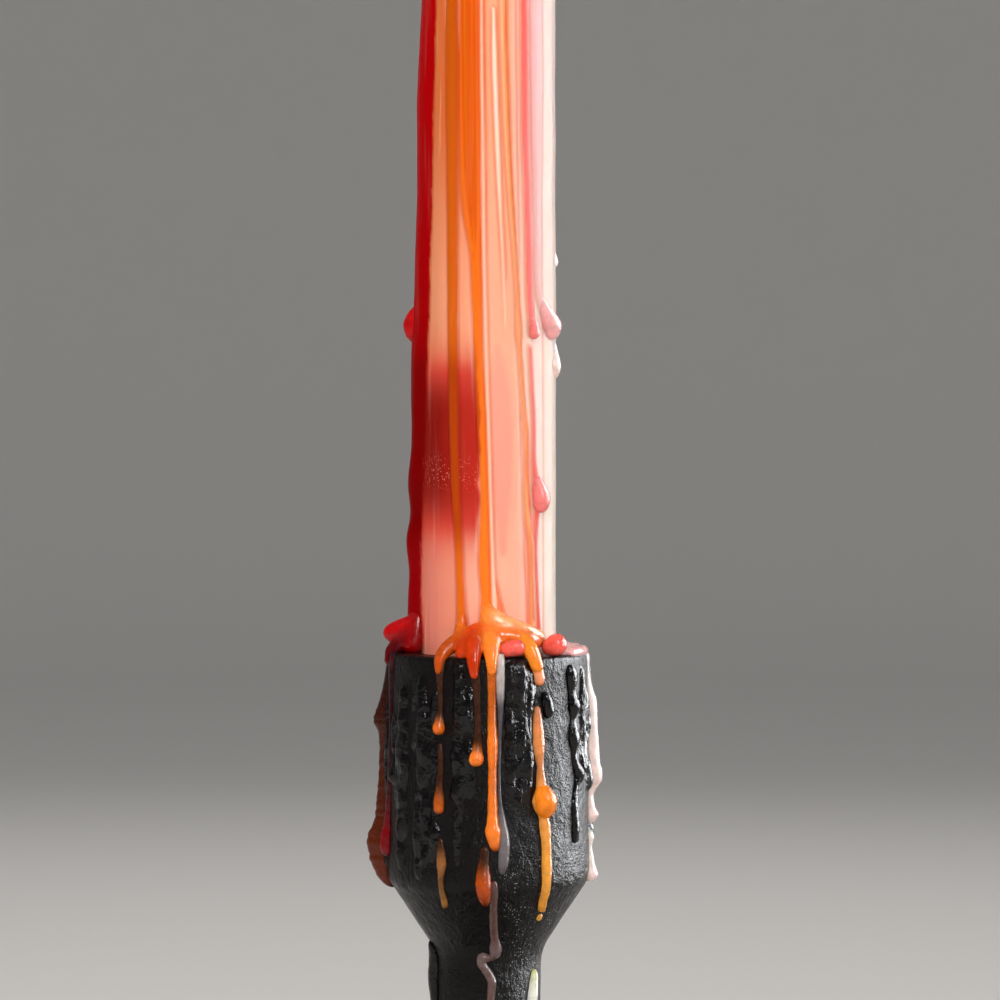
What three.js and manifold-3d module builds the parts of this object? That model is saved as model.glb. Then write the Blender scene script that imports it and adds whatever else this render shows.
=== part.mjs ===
// A partly burned taper candle, fused by its own coloured wax into a black cast-iron candlestick.
// Millimetres, +Z up. The origin is the centre of the felt pad's underside, where the candlestick stands.
//
// A place on a round body is given by its turn, in degrees about the vertical axis, and its height.
// Turn 0 faces the front (-Y), and +90 faces +X.

import * as THREE from "three";
import { mergeVertices } from "three/addons/utils/BufferGeometryUtils.js";
import Module from "manifold-3d";

const wasm = await Module();
wasm.setup();

// ---------------------------------------------------------------- driving dimensions

const GAP = 0.3; // air left between pieces that touch

const CUP_RADIUS = 16.8; // outside of the cup, and of the whole head of the candlestick
const RIM_Z = 118; // top of the cup
const SHOULDER_Z = 80.5; // where the cup's wall turns in towards the stem
const NECK_Z = 66; // where the stem begins
const STEM_RADIUS = 8.8;
const SOCKET_RADIUS = 11.9;
const SOCKET_DEPTH = 24;

const FOOT_RADIUS = 42;
const FOOT_EDGE = 5; // height of the foot's upright edge
const BOSS_RADIUS = 11.5; // collar of the foot that carries the stem
const STEM_FOOT_Z = 26; // underside of the stem, on the foot's boss

const PAD_RADIUS = 39.5;
const PAD_THICKNESS = 1.5;

const SCREW_RADIUS = 3; // M6
const SCREW_HEAD_RADIUS = 5;
const SCREW_HEAD_HEIGHT = 4;
const SCREW_TOP_Z = 44;
const KEY_ACROSS_CORNERS = 5.77; // 5 mm hexagon key
const KEY_DEPTH = 2.5;
const WASHER_RADIUS = 6.2;
const WASHER_THICKNESS = 1.2;
const COUNTERBORE_RADIUS = 7.2;
const COUNTERBORE_TOP_Z = 10.5;

const CANDLE_OFFSET = -0.25; // the candle stands a little to one side in its socket
const CANDLE_FOOT_RADIUS = 11.05;
const CANDLE_TOP_RADIUS = 10.55; // a taper candle narrows as it rises
const CANDLE_TOP_Z = 256;
const CRATER_DEPTH = 5; // the hollow that the flame melted round the wick
const WICK_RADIUS = 1.05;
const WICK_TOP_Z = 268;

const POOL_TOP_Z = 122.2; // where the wax pool on the rim climbs the candle
const POOL_LIP_Z = 119.6; // its surface at the rim's edge

const ROUND_SIDES = 40; // facets of each turned body

// ---------------------------------------------------------------- materials

const wax = (name, colour) =>
  new THREE.MeshStandardMaterial({ name, color: colour, roughness: 0.3, metalness: 0 });

const materials = {
  iron: new THREE.MeshStandardMaterial({ name: "black_iron", color: 0x17171a, roughness: 0.55, metalness: 0.4 }),
  steel: new THREE.MeshStandardMaterial({ name: "screw_steel", color: 0x9a9da1, roughness: 0.35, metalness: 1 }),
  felt: new THREE.MeshStandardMaterial({ name: "felt", color: 0x2c3a30, roughness: 1, metalness: 0 }),
  wick: new THREE.MeshStandardMaterial({ name: "wick_cotton", color: 0x2a241f, roughness: 0.95, metalness: 0 }),
  candle: wax("candle_wax", 0xe9a78f),
  red: wax("red_wax", 0x980404),
  orange: wax("orange_wax", 0xef7a1a),
  amber: wax("amber_wax", 0xcf6a14),
  coral: wax("coral_wax", 0xfa8f70),
  pink: wax("pink_wax", 0xf78285),
  palePink: wax("pale_pink_wax", 0xfac0bf),
  cream: wax("cream_wax", 0xf6e2d6),
  mauve: wax("mauve_wax", 0xa98a86),
  black: new THREE.MeshStandardMaterial({ name: "black_wax", color: 0x101014, roughness: 0.18, metalness: 0 }),
};

// ---------------------------------------------------------------- round bodies

// The outline of the cup, its taper and the stem: [radius, height] pairs from the top down.
const shoulder = new THREE.CubicBezierCurve(
  new THREE.Vector2(CUP_RADIUS, SHOULDER_Z + 1.5),
  new THREE.Vector2(CUP_RADIUS, SHOULDER_Z - 2.2),
  new THREE.Vector2(CUP_RADIUS - 2.2, SHOULDER_Z - 4),
  new THREE.Vector2(CUP_RADIUS - 4, SHOULDER_Z - 6.4),
);
const neck = new THREE.CubicBezierCurve(
  new THREE.Vector2(CUP_RADIUS - 4, SHOULDER_Z - 6.4),
  new THREE.Vector2(CUP_RADIUS - 6, NECK_Z + 5.4),
  new THREE.Vector2(STEM_RADIUS, NECK_Z + 3.6),
  new THREE.Vector2(STEM_RADIUS, NECK_Z - 2),
);
const holderOutline = [
  new THREE.Vector2(CUP_RADIUS - 0.3, RIM_Z - 0.6),
  new THREE.Vector2(CUP_RADIUS, RIM_Z - 6),
  ...shoulder.getPoints(4),
  ...neck.getPoints(5).slice(1),
  new THREE.Vector2(STEM_RADIUS, 38),
  new THREE.Vector2(STEM_RADIUS + 0.5, 32),
  new THREE.Vector2(STEM_RADIUS + 1.7, STEM_FOOT_Z),
];

// A LatheGeometry whose facets are the same for every body, so that faces that meet stay parallel.
function turned(points) {
  return new THREE.LatheGeometry(points, ROUND_SIDES);
}

// LatheGeometry turns about Y. This stands it up on Z.
function upright(geometry) {
  return geometry.rotateX(Math.PI / 2);
}

// Radius of an outline at a height, between its points.
function radiusAt(outline, z) {
  if (z >= outline[0].y) return outline[0].x;
  for (let i = 1; i < outline.length; i += 1) {
    const above = outline[i - 1];
    const below = outline[i];
    if (z >= below.y) {
      const share = (above.y - z) / (above.y - below.y);
      return THREE.MathUtils.lerp(above.x, below.x, share);
    }
  }
  return outline[outline.length - 1].x;
}

const candleOutline = [
  new THREE.Vector2(CANDLE_TOP_RADIUS, CANDLE_TOP_Z - 1),
  new THREE.Vector2(CANDLE_FOOT_RADIUS, RIM_Z),
];

// The surfaces that wax runs down: an outline, and how far its axis stands from the origin.
const candleSide = { outline: candleOutline, offset: CANDLE_OFFSET };
const holderSide = { outline: holderOutline, offset: 0 };

// ---------------------------------------------------------------- lofted wax

// Joins rings with equal numbers of points into one closed body, with a flat cap at each end.
function loft(rings) {
  const size = rings[0].length;
  const corners = rings.flat();
  const faces = [];
  for (let i = 0; i + 1 < rings.length; i += 1) {
    for (let j = 0; j < size; j += 1) {
      const a = i * size + j;
      const b = i * size + ((j + 1) % size);
      faces.push(a, a + size, b, b, a + size, b + size);
    }
  }
  const first = corners.length;
  const last = first + 1;
  corners.push(centreOf(rings[0]), centreOf(rings[rings.length - 1]));
  const lastRing = (rings.length - 1) * size;
  for (let j = 0; j < size; j += 1) {
    const next = (j + 1) % size;
    faces.push(first, j, next);
    faces.push(last, lastRing + next, lastRing + j);
  }
  const geometry = new THREE.BufferGeometry().setFromPoints(corners);
  geometry.setIndex(faces);
  return geometry;
}

function centreOf(ring) {
  const sum = ring.reduce((total, point) => total.add(point), new THREE.Vector3());
  return sum.divideScalar(ring.length);
}

function onSide(side, radius, turn, z) {
  const angle = THREE.MathUtils.degToRad(turn);
  return new THREE.Vector3(side.offset + radius * Math.sin(angle), -radius * Math.cos(angle), z);
}

// The height of a run's back above its bed, from one edge (-1) through the middle (0) to the other (1).
const RUN_SECTION = [
  [-1, 0.25],
  [-0.55, 0.8],
  [0, 1],
  [0.55, 0.8],
  [1, 0.25],
];

// Knots are [turn, height, half width, thickness], from the top down. A run also bends where its bed does.
function waxRun(side, knots) {
  const heights = knots.map((knot) => knot[1]);
  const bends = side.outline
    .map((point) => point.y)
    .filter((z) => z < heights[0] && z > heights[heights.length - 1])
    .filter((z) => heights.every((height) => Math.abs(height - z) > 0.4));
  const all = [...heights, ...bends].sort((a, b) => b - a);
  return loft(all.map((z) => runRing(side, knotAt(knots, z))));
}

function knotAt(knots, z) {
  const below = Math.max(1, knots.findIndex((knot) => knot[1] <= z));
  const [upper, lower] = [knots[below - 1], knots[below]];
  const share = (upper[1] - z) / (upper[1] - lower[1]);
  return upper.map((value, i) => THREE.MathUtils.lerp(value, lower[i], share));
}

function runRing(side, [turn, z, halfWidth, thickness]) {
  const bed = radiusAt(side.outline, z) + GAP;
  const reach = THREE.MathUtils.radToDeg(halfWidth / bed);
  const back = RUN_SECTION.map(([across, lift]) => onSide(side, bed + lift * thickness, turn + across * reach, z));
  const underside = [1, 0, -1].map((across) => onSide(side, bed, turn + across * reach, z));
  return [...back, ...underside];
}

// Wax that lies on the flat rim, between the candle and the cup's edge. Knots are
// [turn, inner radius, outer radius, height at the candle, height at the edge].
function rimPool(knots) {
  return loft(
    knots.map(([turn, inner, outer, top, lip]) => {
      const foot = RIM_Z + GAP;
      const middle = (inner + outer) / 2;
      const section = [
        [outer, foot],
        [outer - 0.3, lip],
        [middle, (top + 2 * lip) / 3 + 0.4],
        [inner, top],
        [inner, foot],
      ];
      return section.map(([radius, z]) => onSide(holderSide, radius, turn, z));
    }),
  );
}

// A rounded bead of wax, resting on the rim at a turn and distance from the axis.
function rimBead(turn, distance, radii) {
  const bead = new THREE.SphereGeometry(1, 12, 8);
  const angle = THREE.MathUtils.degToRad(turn);
  bead.rotateX(Math.PI / 2);
  bead.scale(radii[0], radii[1], radii[2]);
  bead.rotateZ(angle);
  const place = onSide(holderSide, distance, turn, RIM_Z + GAP + radii[2]);
  bead.translate(place.x, place.y, place.z);
  return bead;
}

// ---------------------------------------------------------------- solids, joins and cuts

function toSolid(geometry) {
  const bare = geometry.clone();
  bare.deleteAttribute("normal");
  bare.deleteAttribute("uv");
  const merged = mergeVertices(bare, 1e-4);
  return new wasm.Manifold(
    new wasm.Mesh({
      numProp: 3,
      vertProperties: merged.attributes.position.array,
      triVerts: new Uint32Array(merged.index.array),
    }),
  );
}

function toGeometry(solid) {
  const mesh = solid.getMesh();
  const geometry = new THREE.BufferGeometry();
  geometry.setAttribute("position", new THREE.BufferAttribute(mesh.vertProperties, 3));
  geometry.setIndex(new THREE.BufferAttribute(mesh.triVerts, 1));
  geometry.computeVertexNormals();
  return geometry;
}

// ---------------------------------------------------------------- the candlestick

// Cup, taper and stem are one casting: a socket for the candle above, a tapped hole for the screw below.
function cupAndStem() {
  const socketFloor = RIM_Z - SOCKET_DEPTH;
  const hole = SCREW_RADIUS + GAP;
  const points = [
    new THREE.Vector2(0, SCREW_TOP_Z + 3),
    new THREE.Vector2(hole, SCREW_TOP_Z + 1),
    new THREE.Vector2(hole, STEM_FOOT_Z),
    ...[...holderOutline].reverse(),
    new THREE.Vector2(CUP_RADIUS - 0.9, RIM_Z),
    new THREE.Vector2(SOCKET_RADIUS + 0.4, RIM_Z),
    new THREE.Vector2(SOCKET_RADIUS, RIM_Z - 0.5),
    new THREE.Vector2(SOCKET_RADIUS, socketFloor),
    new THREE.Vector2(0, socketFloor),
  ];
  return upright(turned(points));
}

// A heavy round casting: an upright edge, a hollowed slope and a collar, counterbored from below.
function foot() {
  const base = PAD_THICKNESS + GAP;
  const top = STEM_FOOT_Z - GAP;
  const slope = new THREE.CubicBezierCurve(
    new THREE.Vector2(FOOT_RADIUS - 1.5, base + FOOT_EDGE),
    new THREE.Vector2(FOOT_RADIUS - 20, base + FOOT_EDGE + 2),
    new THREE.Vector2(BOSS_RADIUS + 3, top - 12),
    new THREE.Vector2(BOSS_RADIUS, top - 4.5),
  );
  const hole = SCREW_RADIUS + GAP;
  const points = [
    new THREE.Vector2(hole, COUNTERBORE_TOP_Z),
    new THREE.Vector2(COUNTERBORE_RADIUS, COUNTERBORE_TOP_Z),
    new THREE.Vector2(COUNTERBORE_RADIUS, base),
    new THREE.Vector2(FOOT_RADIUS - 0.8, base),
    new THREE.Vector2(FOOT_RADIUS, base + 0.8),
    new THREE.Vector2(FOOT_RADIUS, base + FOOT_EDGE - 1.2),
    ...slope.getPoints(8),
    new THREE.Vector2(BOSS_RADIUS + 0.8, top - 2.6),
    new THREE.Vector2(BOSS_RADIUS, top - 0.6),
    new THREE.Vector2(BOSS_RADIUS - 0.8, top),
    new THREE.Vector2(hole, top),
    new THREE.Vector2(hole, COUNTERBORE_TOP_Z),
  ];
  return upright(turned(points));
}

// The socket-head screw that draws the stem down on the foot.
function footScrew() {
  const headTop = COUNTERBORE_TOP_Z - WASHER_THICKNESS - 2 * GAP;
  const headFoot = headTop - SCREW_HEAD_HEIGHT;
  const body = upright(
    new THREE.LatheGeometry(
      [
        new THREE.Vector2(0, headFoot),
        new THREE.Vector2(SCREW_HEAD_RADIUS - 0.4, headFoot),
        new THREE.Vector2(SCREW_HEAD_RADIUS, headFoot + 0.4),
        new THREE.Vector2(SCREW_HEAD_RADIUS, headTop),
        new THREE.Vector2(SCREW_RADIUS, headTop),
        new THREE.Vector2(SCREW_RADIUS, SCREW_TOP_Z - 1),
        new THREE.Vector2(SCREW_RADIUS - 0.8, SCREW_TOP_Z),
        new THREE.Vector2(0, SCREW_TOP_Z),
      ],
      20,
    ),
  );
  const key = new THREE.CylinderGeometry(KEY_ACROSS_CORNERS / 2, KEY_ACROSS_CORNERS / 2, 2 * KEY_DEPTH, 6);
  upright(key).translate(0, 0, headFoot);
  return toGeometry(toSolid(body).subtract(toSolid(key)));
}

function ring(inner, outer, low, high, sides) {
  const points = [
    new THREE.Vector2(inner, low),
    new THREE.Vector2(outer, low),
    new THREE.Vector2(outer, high),
    new THREE.Vector2(inner, high),
    new THREE.Vector2(inner, low),
  ];
  return upright(new THREE.LatheGeometry(points, sides));
}

function footWasher() {
  const high = COUNTERBORE_TOP_Z - GAP;
  return ring(SCREW_RADIUS + GAP, WASHER_RADIUS, high - WASHER_THICKNESS, high, 20);
}

function feltPad() {
  const points = [
    new THREE.Vector2(0, 0),
    new THREE.Vector2(PAD_RADIUS, 0),
    new THREE.Vector2(PAD_RADIUS, PAD_THICKNESS),
    new THREE.Vector2(0, PAD_THICKNESS),
  ];
  return upright(turned(points));
}

// ---------------------------------------------------------------- the candle

// The butt sits in the socket. The top is a crater with a worn lip, and a bore carries the wick.
function candleBody() {
  const bore = WICK_RADIUS + GAP;
  const butt = RIM_Z - SOCKET_DEPTH + GAP;
  const lip = CANDLE_TOP_RADIUS;
  const points = [
    new THREE.Vector2(bore, butt),
    new THREE.Vector2(CANDLE_FOOT_RADIUS - 1, butt),
    new THREE.Vector2(CANDLE_FOOT_RADIUS, butt + 1.5),
    new THREE.Vector2(CANDLE_FOOT_RADIUS, RIM_Z),
    new THREE.Vector2(lip, CANDLE_TOP_Z - 1),
    new THREE.Vector2(lip - 0.7, CANDLE_TOP_Z),
    new THREE.Vector2(lip - 1.8, CANDLE_TOP_Z - 0.6),
    new THREE.Vector2(lip - 3.6, CANDLE_TOP_Z - CRATER_DEPTH * 0.7),
    new THREE.Vector2(lip - 6.4, CANDLE_TOP_Z - CRATER_DEPTH),
    new THREE.Vector2(bore, CANDLE_TOP_Z - CRATER_DEPTH + 0.6),
    new THREE.Vector2(bore, butt),
  ];
  return upright(turned(points));
}

// A braided wick, upright in the wax and bent over where it burned.
function wick() {
  const bend = new THREE.CatmullRomCurve3([
    new THREE.Vector3(0, 0, RIM_Z - SOCKET_DEPTH + 1),
    new THREE.Vector3(0, 0, CANDLE_TOP_Z - CRATER_DEPTH - 4),
    new THREE.Vector3(0, 0, CANDLE_TOP_Z - CRATER_DEPTH + 3),
    new THREE.Vector3(0.4, -0.2, WICK_TOP_Z - 8),
    new THREE.Vector3(1.6, -0.6, WICK_TOP_Z - 3.4),
    new THREE.Vector3(4, -1.2, WICK_TOP_Z),
  ]);
  const section = new THREE.Shape().absarc(0, 0, WICK_RADIUS, 0, 2 * Math.PI);
  return new THREE.ExtrudeGeometry(section, { extrudePath: bend, steps: 30, curveSegments: 4, bevelEnabled: false });
}

// ---------------------------------------------------------------- wax on the candle

// Where every run on the candle begins: just under the lip of the crater.
const LIP_Z = CANDLE_TOP_Z - 1.4;

const candleRuns = {
  red_run: ["red", [
    [-84, LIP_Z, 3.2, 0.5], [-84, 226, 3.9, 0.7], [-85, 176, 3.7, 1.2], [-87, 173.5, 3.3, 2.2],
    [-87, 171, 3.2, 2.9], [-87, 169, 3.4, 1.4], [-87, 150, 3.2, 1.5], [-87, 146, 3.4, 2.3],
    [-87, 140, 3.2, 1.7], [-87, 136.5, 3.4, 2.3], [-87, 126, 3.3, 1.9], [-86, 123, 3.6, 3.4],
    [-85, 120.6, 3.8, 5.4], [-85, 118.6, 3.4, 4.4],
  ]],
  amber_run: ["amber", [
    [-34, LIP_Z, 0.8, 0.4], [-33, 176, 0.75, 0.5], [-32.5, 158, 0.75, 0.5], [-27, 140, 0.75, 0.5],
    [-22.5, 124, 0.9, 0.6],
  ]],
  orange_run: ["orange", [
    [-20, LIP_Z, 1.5, 0.4], [-18.5, 226, 1.5, 0.6], [-14, 206, 1.3, 0.7], [-11, 186, 0.95, 0.8],
    [-7.8, 168, 0.95, 0.9], [-3.4, 146.6, 1.15, 1.1], [-0.4, 133, 1.2, 1.2], [2.4, 123.6, 1.4, 1.3],
  ]],
  coral_run: ["coral", [
    [1.5, LIP_Z, 0.9, 0.5], [1.5, 226, 1, 0.6], [2.6, 196, 1.3, 0.6], [9, 176, 1.6, 0.7],
    [14, 160, 1.8, 0.7], [17, 146, 1.9, 0.7], [18.9, 133, 1.8, 0.7], [17.8, 124, 1.3, 0.9],
  ]],
  orange_thread: ["orange", [
    [10.6, LIP_Z, 0.5, 0.4], [11.3, 226, 0.5, 0.4], [17.5, 198, 0.5, 0.5], [26.8, 171.5, 0.65, 0.6],
    [33.8, 160, 0.5, 0.5], [38, 143, 0.6, 0.5], [41.4, 126.6, 0.6, 0.6], [43, 123.6, 0.6, 0.6],
  ]],
  pink_run: ["pink", [
    [31, LIP_Z, 0.7, 0.4], [32.6, 226, 0.75, 0.5], [33.8, 203, 0.75, 0.5], [37.5, 188, 0.75, 0.6],
    [39, 175, 0.9, 0.8], [41.8, 171.5, 1.2, 1.4], [42, 168.8, 0.6, 0.6],
  ]],
  pink_run_lower: ["pink", [
    [41.4, 168, 0.5, 0.4], [43.8, 153, 0.6, 0.5], [47, 147.5, 0.9, 0.9], [49.7, 144.2, 1.5, 1.8],
    [48.5, 141.6, 0.8, 0.7], [48.3, 132, 0.7, 0.5], [50.4, 123.6, 0.7, 0.5],
  ]],
  pale_pink_run: ["palePink", [
    [41, LIP_Z, 0.7, 0.4], [41.6, 226, 0.7, 0.4], [43.4, 206, 0.7, 0.5], [46.4, 190, 0.7, 0.5],
    [53, 180, 0.7, 0.6], [64, 175, 1, 1], [70.5, 172.4, 1.5, 2], [71, 170.3, 0.8, 1],
  ]],
  cream_run: ["cream", [
    [94, LIP_Z, 2, 0.4], [94, 190, 2.2, 0.5], [93, 183, 2.2, 1.1], [93, 180, 2, 0.5],
    [91, 167.4, 1.8, 1.2], [89, 164.8, 1.7, 1.8], [91, 162, 1.8, 0.5], [92, 150, 2, 0.8],
    [93, 124, 2, 0.5],
  ]],
  amber_run_back: ["amber", [
    [122, LIP_Z, 0.9, 0.5], [124, 190, 0.9, 0.6], [126, 150, 1, 0.7], [126, 143, 1.5, 1.6],
    [126, 140, 0.8, 0.8],
  ]],
  pink_run_back: ["pink", [
    [146, LIP_Z, 1.2, 0.5], [150, 200, 1.1, 0.7], [152, 150, 1.2, 0.9], [150, 124, 1.5, 1.2],
  ]],
  cream_run_back: ["cream", [
    [178, LIP_Z, 1.6, 0.5], [177, 210, 1.7, 0.7], [179, 185, 1.6, 0.9], [179, 177, 2.1, 1.8],
    [179, 173.6, 1.1, 1],
  ]],
  orange_run_back: ["orange", [
    [-157, LIP_Z, 1.3, 0.5], [-154, 200, 1.2, 0.8], [-155, 160, 1.3, 1], [-156, 124, 1.7, 1.2],
  ]],
  coral_run_back: ["coral", [
    [-128, LIP_Z, 1.4, 0.5], [-127, 200, 1.3, 0.8], [-129, 156, 1.4, 1], [-129, 149, 2, 1.9],
    [-129, 145.4, 1, 1],
  ]],
};

// ---------------------------------------------------------------- wax on the cup and stem

// Where every run on the cup begins: just under the rounded edge of the rim.
const EDGE_Z = RIM_Z - 0.7;

const cupRuns = {
  amber_run_side: ["amber", [
    [-101, EDGE_Z, 1.1, 0.6], [-101, 110, 1.3, 1.1], [-101, 106.4, 1.6, 2.3], [-101, 103.8, 1.3, 1.2],
    [-101, 92, 1.5, 1.6], [-101, 86.2, 1.9, 3], [-101, 82.5, 1.5, 1.9], [-101, 79.5, 0.8, 0.8],
  ]],
  red_run_cup: ["red", [
    [-78, EDGE_Z, 1.1, 0.9], [-80, 104, 1, 0.9], [-84, 94, 1, 1], [-86, 86, 1.2, 1.4],
    [-86, 83.2, 0.7, 0.7],
  ]],
  amber_run_cup: ["amber", [
    [-28, EDGE_Z, 1, 0.6], [-28.4, 111, 0.9, 0.6], [-30, 108.4, 0.9, 0.9], [-30.3, 105.9, 1.35, 1.6],
    [-30.3, 103.6, 0.8, 0.8],
  ]],
  amber_run_cup_lower: ["amber", [
    [-28.5, 103, 0.7, 0.3], [-28.8, 97.4, 0.7, 0.4], [-29.4, 94, 1.1, 1.1], [-29.2, 91.6, 0.8, 0.9],
  ]],
  amber_trickle: ["amber", [
    [-28.8, 88.6, 0.6, 0.4], [-28.8, 85.2, 1.1, 0.7], [-28.5, 80.6, 0.8, 0.6], [-32, 76, 0.5, 0.5],
  ]],
  brown_run_cup: ["mauve", [
    [-6.8, EDGE_Z, 0.9, 0.4], [-6.8, 105, 0.8, 0.4], [-7.2, 101.3, 1.5, 1.7], [-7.2, 99.2, 0.8, 0.8],
  ]],
  orange_run_cup: ["orange", [
    [2.4, EDGE_Z, 1, 0.9], [2.2, 106, 0.9, 0.9], [2.4, 92, 0.95, 0.9], [3, 88.9, 1.35, 1.6],
    [4, 85, 0.9, 0.9], [4.2, 82.2, 0.6, 0.6],
  ]],
  grey_run_cup: ["mauve", [
    [8.2, EDGE_Z, 0.5, 0.6], [8, 107.5, 0.45, 0.4], [8, 98, 0.4, 0.3], [10.4, 90, 0.5, 0.5],
    [10.6, 86.8, 0.8, 0.7], [10.4, 82.4, 0.6, 0.5],
  ]],
  orange_drop_cup: ["orange", [
    [-4.4, 89, 0.7, 0.4], [-5, 83.6, 1, 1], [-3.8, 80.4, 1.35, 1.6], [-2.4, 77, 0.6, 0.7],
  ]],
  mauve_run_stem: ["mauve", [
    [5.6, 81.4, 0.7, 0.5], [5.7, 74, 0.7, 0.6], [5, 70.4, 0.8, 0.7], [7, 68.8, 1.1, 1.3],
    [1, 66.4, 1.3, 0.9], [4.6, 63.8, 0.75, 0.7], [4.2, 56, 0.8, 0.8], [4.2, 53.6, 1.1, 1.3],
    [4.2, 52, 0.5, 0.6],
  ]],
  orange_drip_rim: ["orange", [
    [29.6, EDGE_Z, 1.2, 1], [30.4, 115.5, 0.95, 0.9], [32, 112.9, 0.6, 0.7],
  ]],
  orange_run_front: ["orange", [
    [29.3, 110, 0.7, 0.6], [30.5, 106.2, 1.15, 0.9], [30.6, 103.4, 1.1, 0.9], [31.3, 101.2, 0.6, 0.6],
    [31.3, 98.2, 0.85, 0.8], [34, 94.6, 1.7, 1.9], [33, 91.4, 1.1, 1], [34.4, 88.4, 1.15, 1],
    [34.8, 82, 0.85, 0.9], [41, 76.6, 0.75, 0.8],
  ]],
  yellow_crumb: ["amber", [[40.4, 75.9, 0.6, 0.5], [40.2, 74.6, 0.4, 0.4]]],
  pale_pink_run_cup: ["palePink", [
    [88, EDGE_Z, 1.2, 0.5], [92, 112.9, 1.4, 1.1], [92, 101, 1.4, 1.3], [92, 97.6, 1.6, 2.1],
    [92, 94.6, 1.2, 0.8], [92, 90.4, 1.4, 1.4], [92, 87.2, 0.9, 0.6],
  ]],
  pale_pink_drop_cup: ["palePink", [
    [91, 86.4, 0.7, 0.6], [90, 81.9, 1.4, 1.7], [90, 79.8, 0.8, 0.9],
  ]],
  white_run_stem: ["cream", [
    [69, 65.4, 0.4, 0.5], [66, 63.4, 0.9, 1.1], [58, 60.2, 1, 1.2], [54, 55, 1.2, 1.4],
    [54, 52.8, 0.7, 0.8],
  ]],
  black_run_upper: ["black", [
    [39.6, 112, 0.6, 0.6], [39.4, 110, 1, 0.9], [39.4, 107.4, 0.7, 0.6],
  ]],
  black_run_side: ["black", [
    [56.8, 116.4, 0.9, 0.7], [56.8, 110.8, 1.3, 1.1], [59, 107.6, 0.7, 0.7], [60, 99.6, 0.6, 0.6],
    [63.4, 97.9, 0.9, 1], [59.6, 94.6, 0.5, 0.5], [61, 86.3, 0.5, 0.5],
  ]],
  black_run_front_1: ["black", [[13.6, 115.4, 0.6, 0.5], [13.2, 106, 0.7, 0.6], [13.6, 98.6, 0.6, 0.5]]],
  black_run_front_2: ["black", [[18.6, 114.8, 0.6, 0.6], [18.3, 103, 0.6, 0.6], [18.6, 95, 0.6, 0.5]]],
  black_run_front_3: ["black", [[23.8, 113.6, 0.7, 0.6], [23.6, 104, 0.6, 0.6], [23.6, 92, 0.5, 0.5]]],
  black_run_left_1: ["black", [[-18, 116.6, 1, 0.5], [-17.4, 104, 0.9, 0.7], [-17.8, 86, 0.7, 0.6]]],
  black_run_left_2: ["black", [[-43.6, 109, 0.8, 0.5], [-44, 96, 0.9, 0.8], [-44, 80.6, 0.7, 0.5]]],
  black_run_left_3: ["black", [[-60.6, 107.4, 0.9, 0.5], [-60, 97, 1, 0.9], [-60, 82.4, 0.8, 0.5]]],
  black_run_stem: ["black", [[-78, 70, 0.8, 0.5], [-80, 64.4, 1.2, 0.9], [-78, 58, 0.8, 0.5]]],
  pink_run_cup_back: ["pink", [
    [150, EDGE_Z, 1.3, 0.9], [150, 100, 1.2, 1], [150, 92, 1.7, 1.9], [150, 88.6, 0.9, 0.9],
  ]],
  orange_run_cup_back: ["orange", [
    [-157, EDGE_Z, 1.4, 0.9], [-156, 96, 1.2, 1], [-156, 84, 1.2, 1.1], [-156, 77, 1.6, 1.7],
    [-156, 73.8, 0.8, 0.8],
  ]],
};

// ---------------------------------------------------------------- wax on the rim

const CANDLE_CLEARANCE = CANDLE_FOOT_RADIUS - CANDLE_OFFSET + 2 * GAP;

const rimWax = {
  orange_pool: ["orange", rimPool([
    [-35, CANDLE_CLEARANCE, 15.4, 119.4, 118.9],
    [-27, CANDLE_CLEARANCE, 16.9, 120.8, POOL_LIP_Z],
    [-14, CANDLE_CLEARANCE, 16.6, POOL_TOP_Z - 0.8, POOL_LIP_Z - 0.3],
    [0, CANDLE_CLEARANCE, 17.1, POOL_TOP_Z + 0.6, POOL_LIP_Z + 0.6],
    [9, CANDLE_CLEARANCE, 16.6, POOL_TOP_Z + 0.8, POOL_LIP_Z + 0.3],
    [12, CANDLE_CLEARANCE, 13.4, POOL_TOP_Z + 0.6, POOL_LIP_Z + 0.8],
    [22, CANDLE_CLEARANCE, 13.4, POOL_TOP_Z, POOL_LIP_Z + 0.8],
    [25, CANDLE_CLEARANCE, 16.8, POOL_TOP_Z, POOL_LIP_Z + 0.4],
    [34, CANDLE_CLEARANCE, 17, POOL_TOP_Z, POOL_LIP_Z + 0.4],
    [38, CANDLE_CLEARANCE, 13.2, POOL_TOP_Z - 0.2, POOL_LIP_Z + 0.6],
    [54, CANDLE_CLEARANCE, 13, 120.6, 119.4],
  ])],
  coral_bead_front: ["pink", rimBead(17, 15.2, [1.5, 1.2, 1.1])],
  coral_bead_side: ["pink", rimBead(47, 15.3, [1.7, 1.6, 1.6])],
  pale_pink_pool: ["palePink", rimPool([
    [57, CANDLE_CLEARANCE, 15.4, 119.6, 119],
    [66, CANDLE_CLEARANCE, 16.2, 120, 119.2],
    [86, CANDLE_CLEARANCE, 16.4, 119.6, 119],
    [94, CANDLE_CLEARANCE, 15, 119, 118.7],
  ])],
  pink_pool_back: ["pink", rimPool([
    [138, CANDLE_CLEARANCE, 15, 119.4, 118.9],
    [150, CANDLE_CLEARANCE, 16.8, 121.4, 119.4],
    [164, CANDLE_CLEARANCE, 15, 119.4, 118.9],
  ])],
  orange_pool_back: ["orange", rimPool([
    [-172, CANDLE_CLEARANCE, 15, 119.4, 118.9],
    [-157, CANDLE_CLEARANCE, 16.8, 121.8, 119.6],
    [-140, CANDLE_CLEARANCE, 15.4, 119.6, 118.9],
  ])],
};

// ---------------------------------------------------------------- assembly

const group = new THREE.Group();

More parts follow.
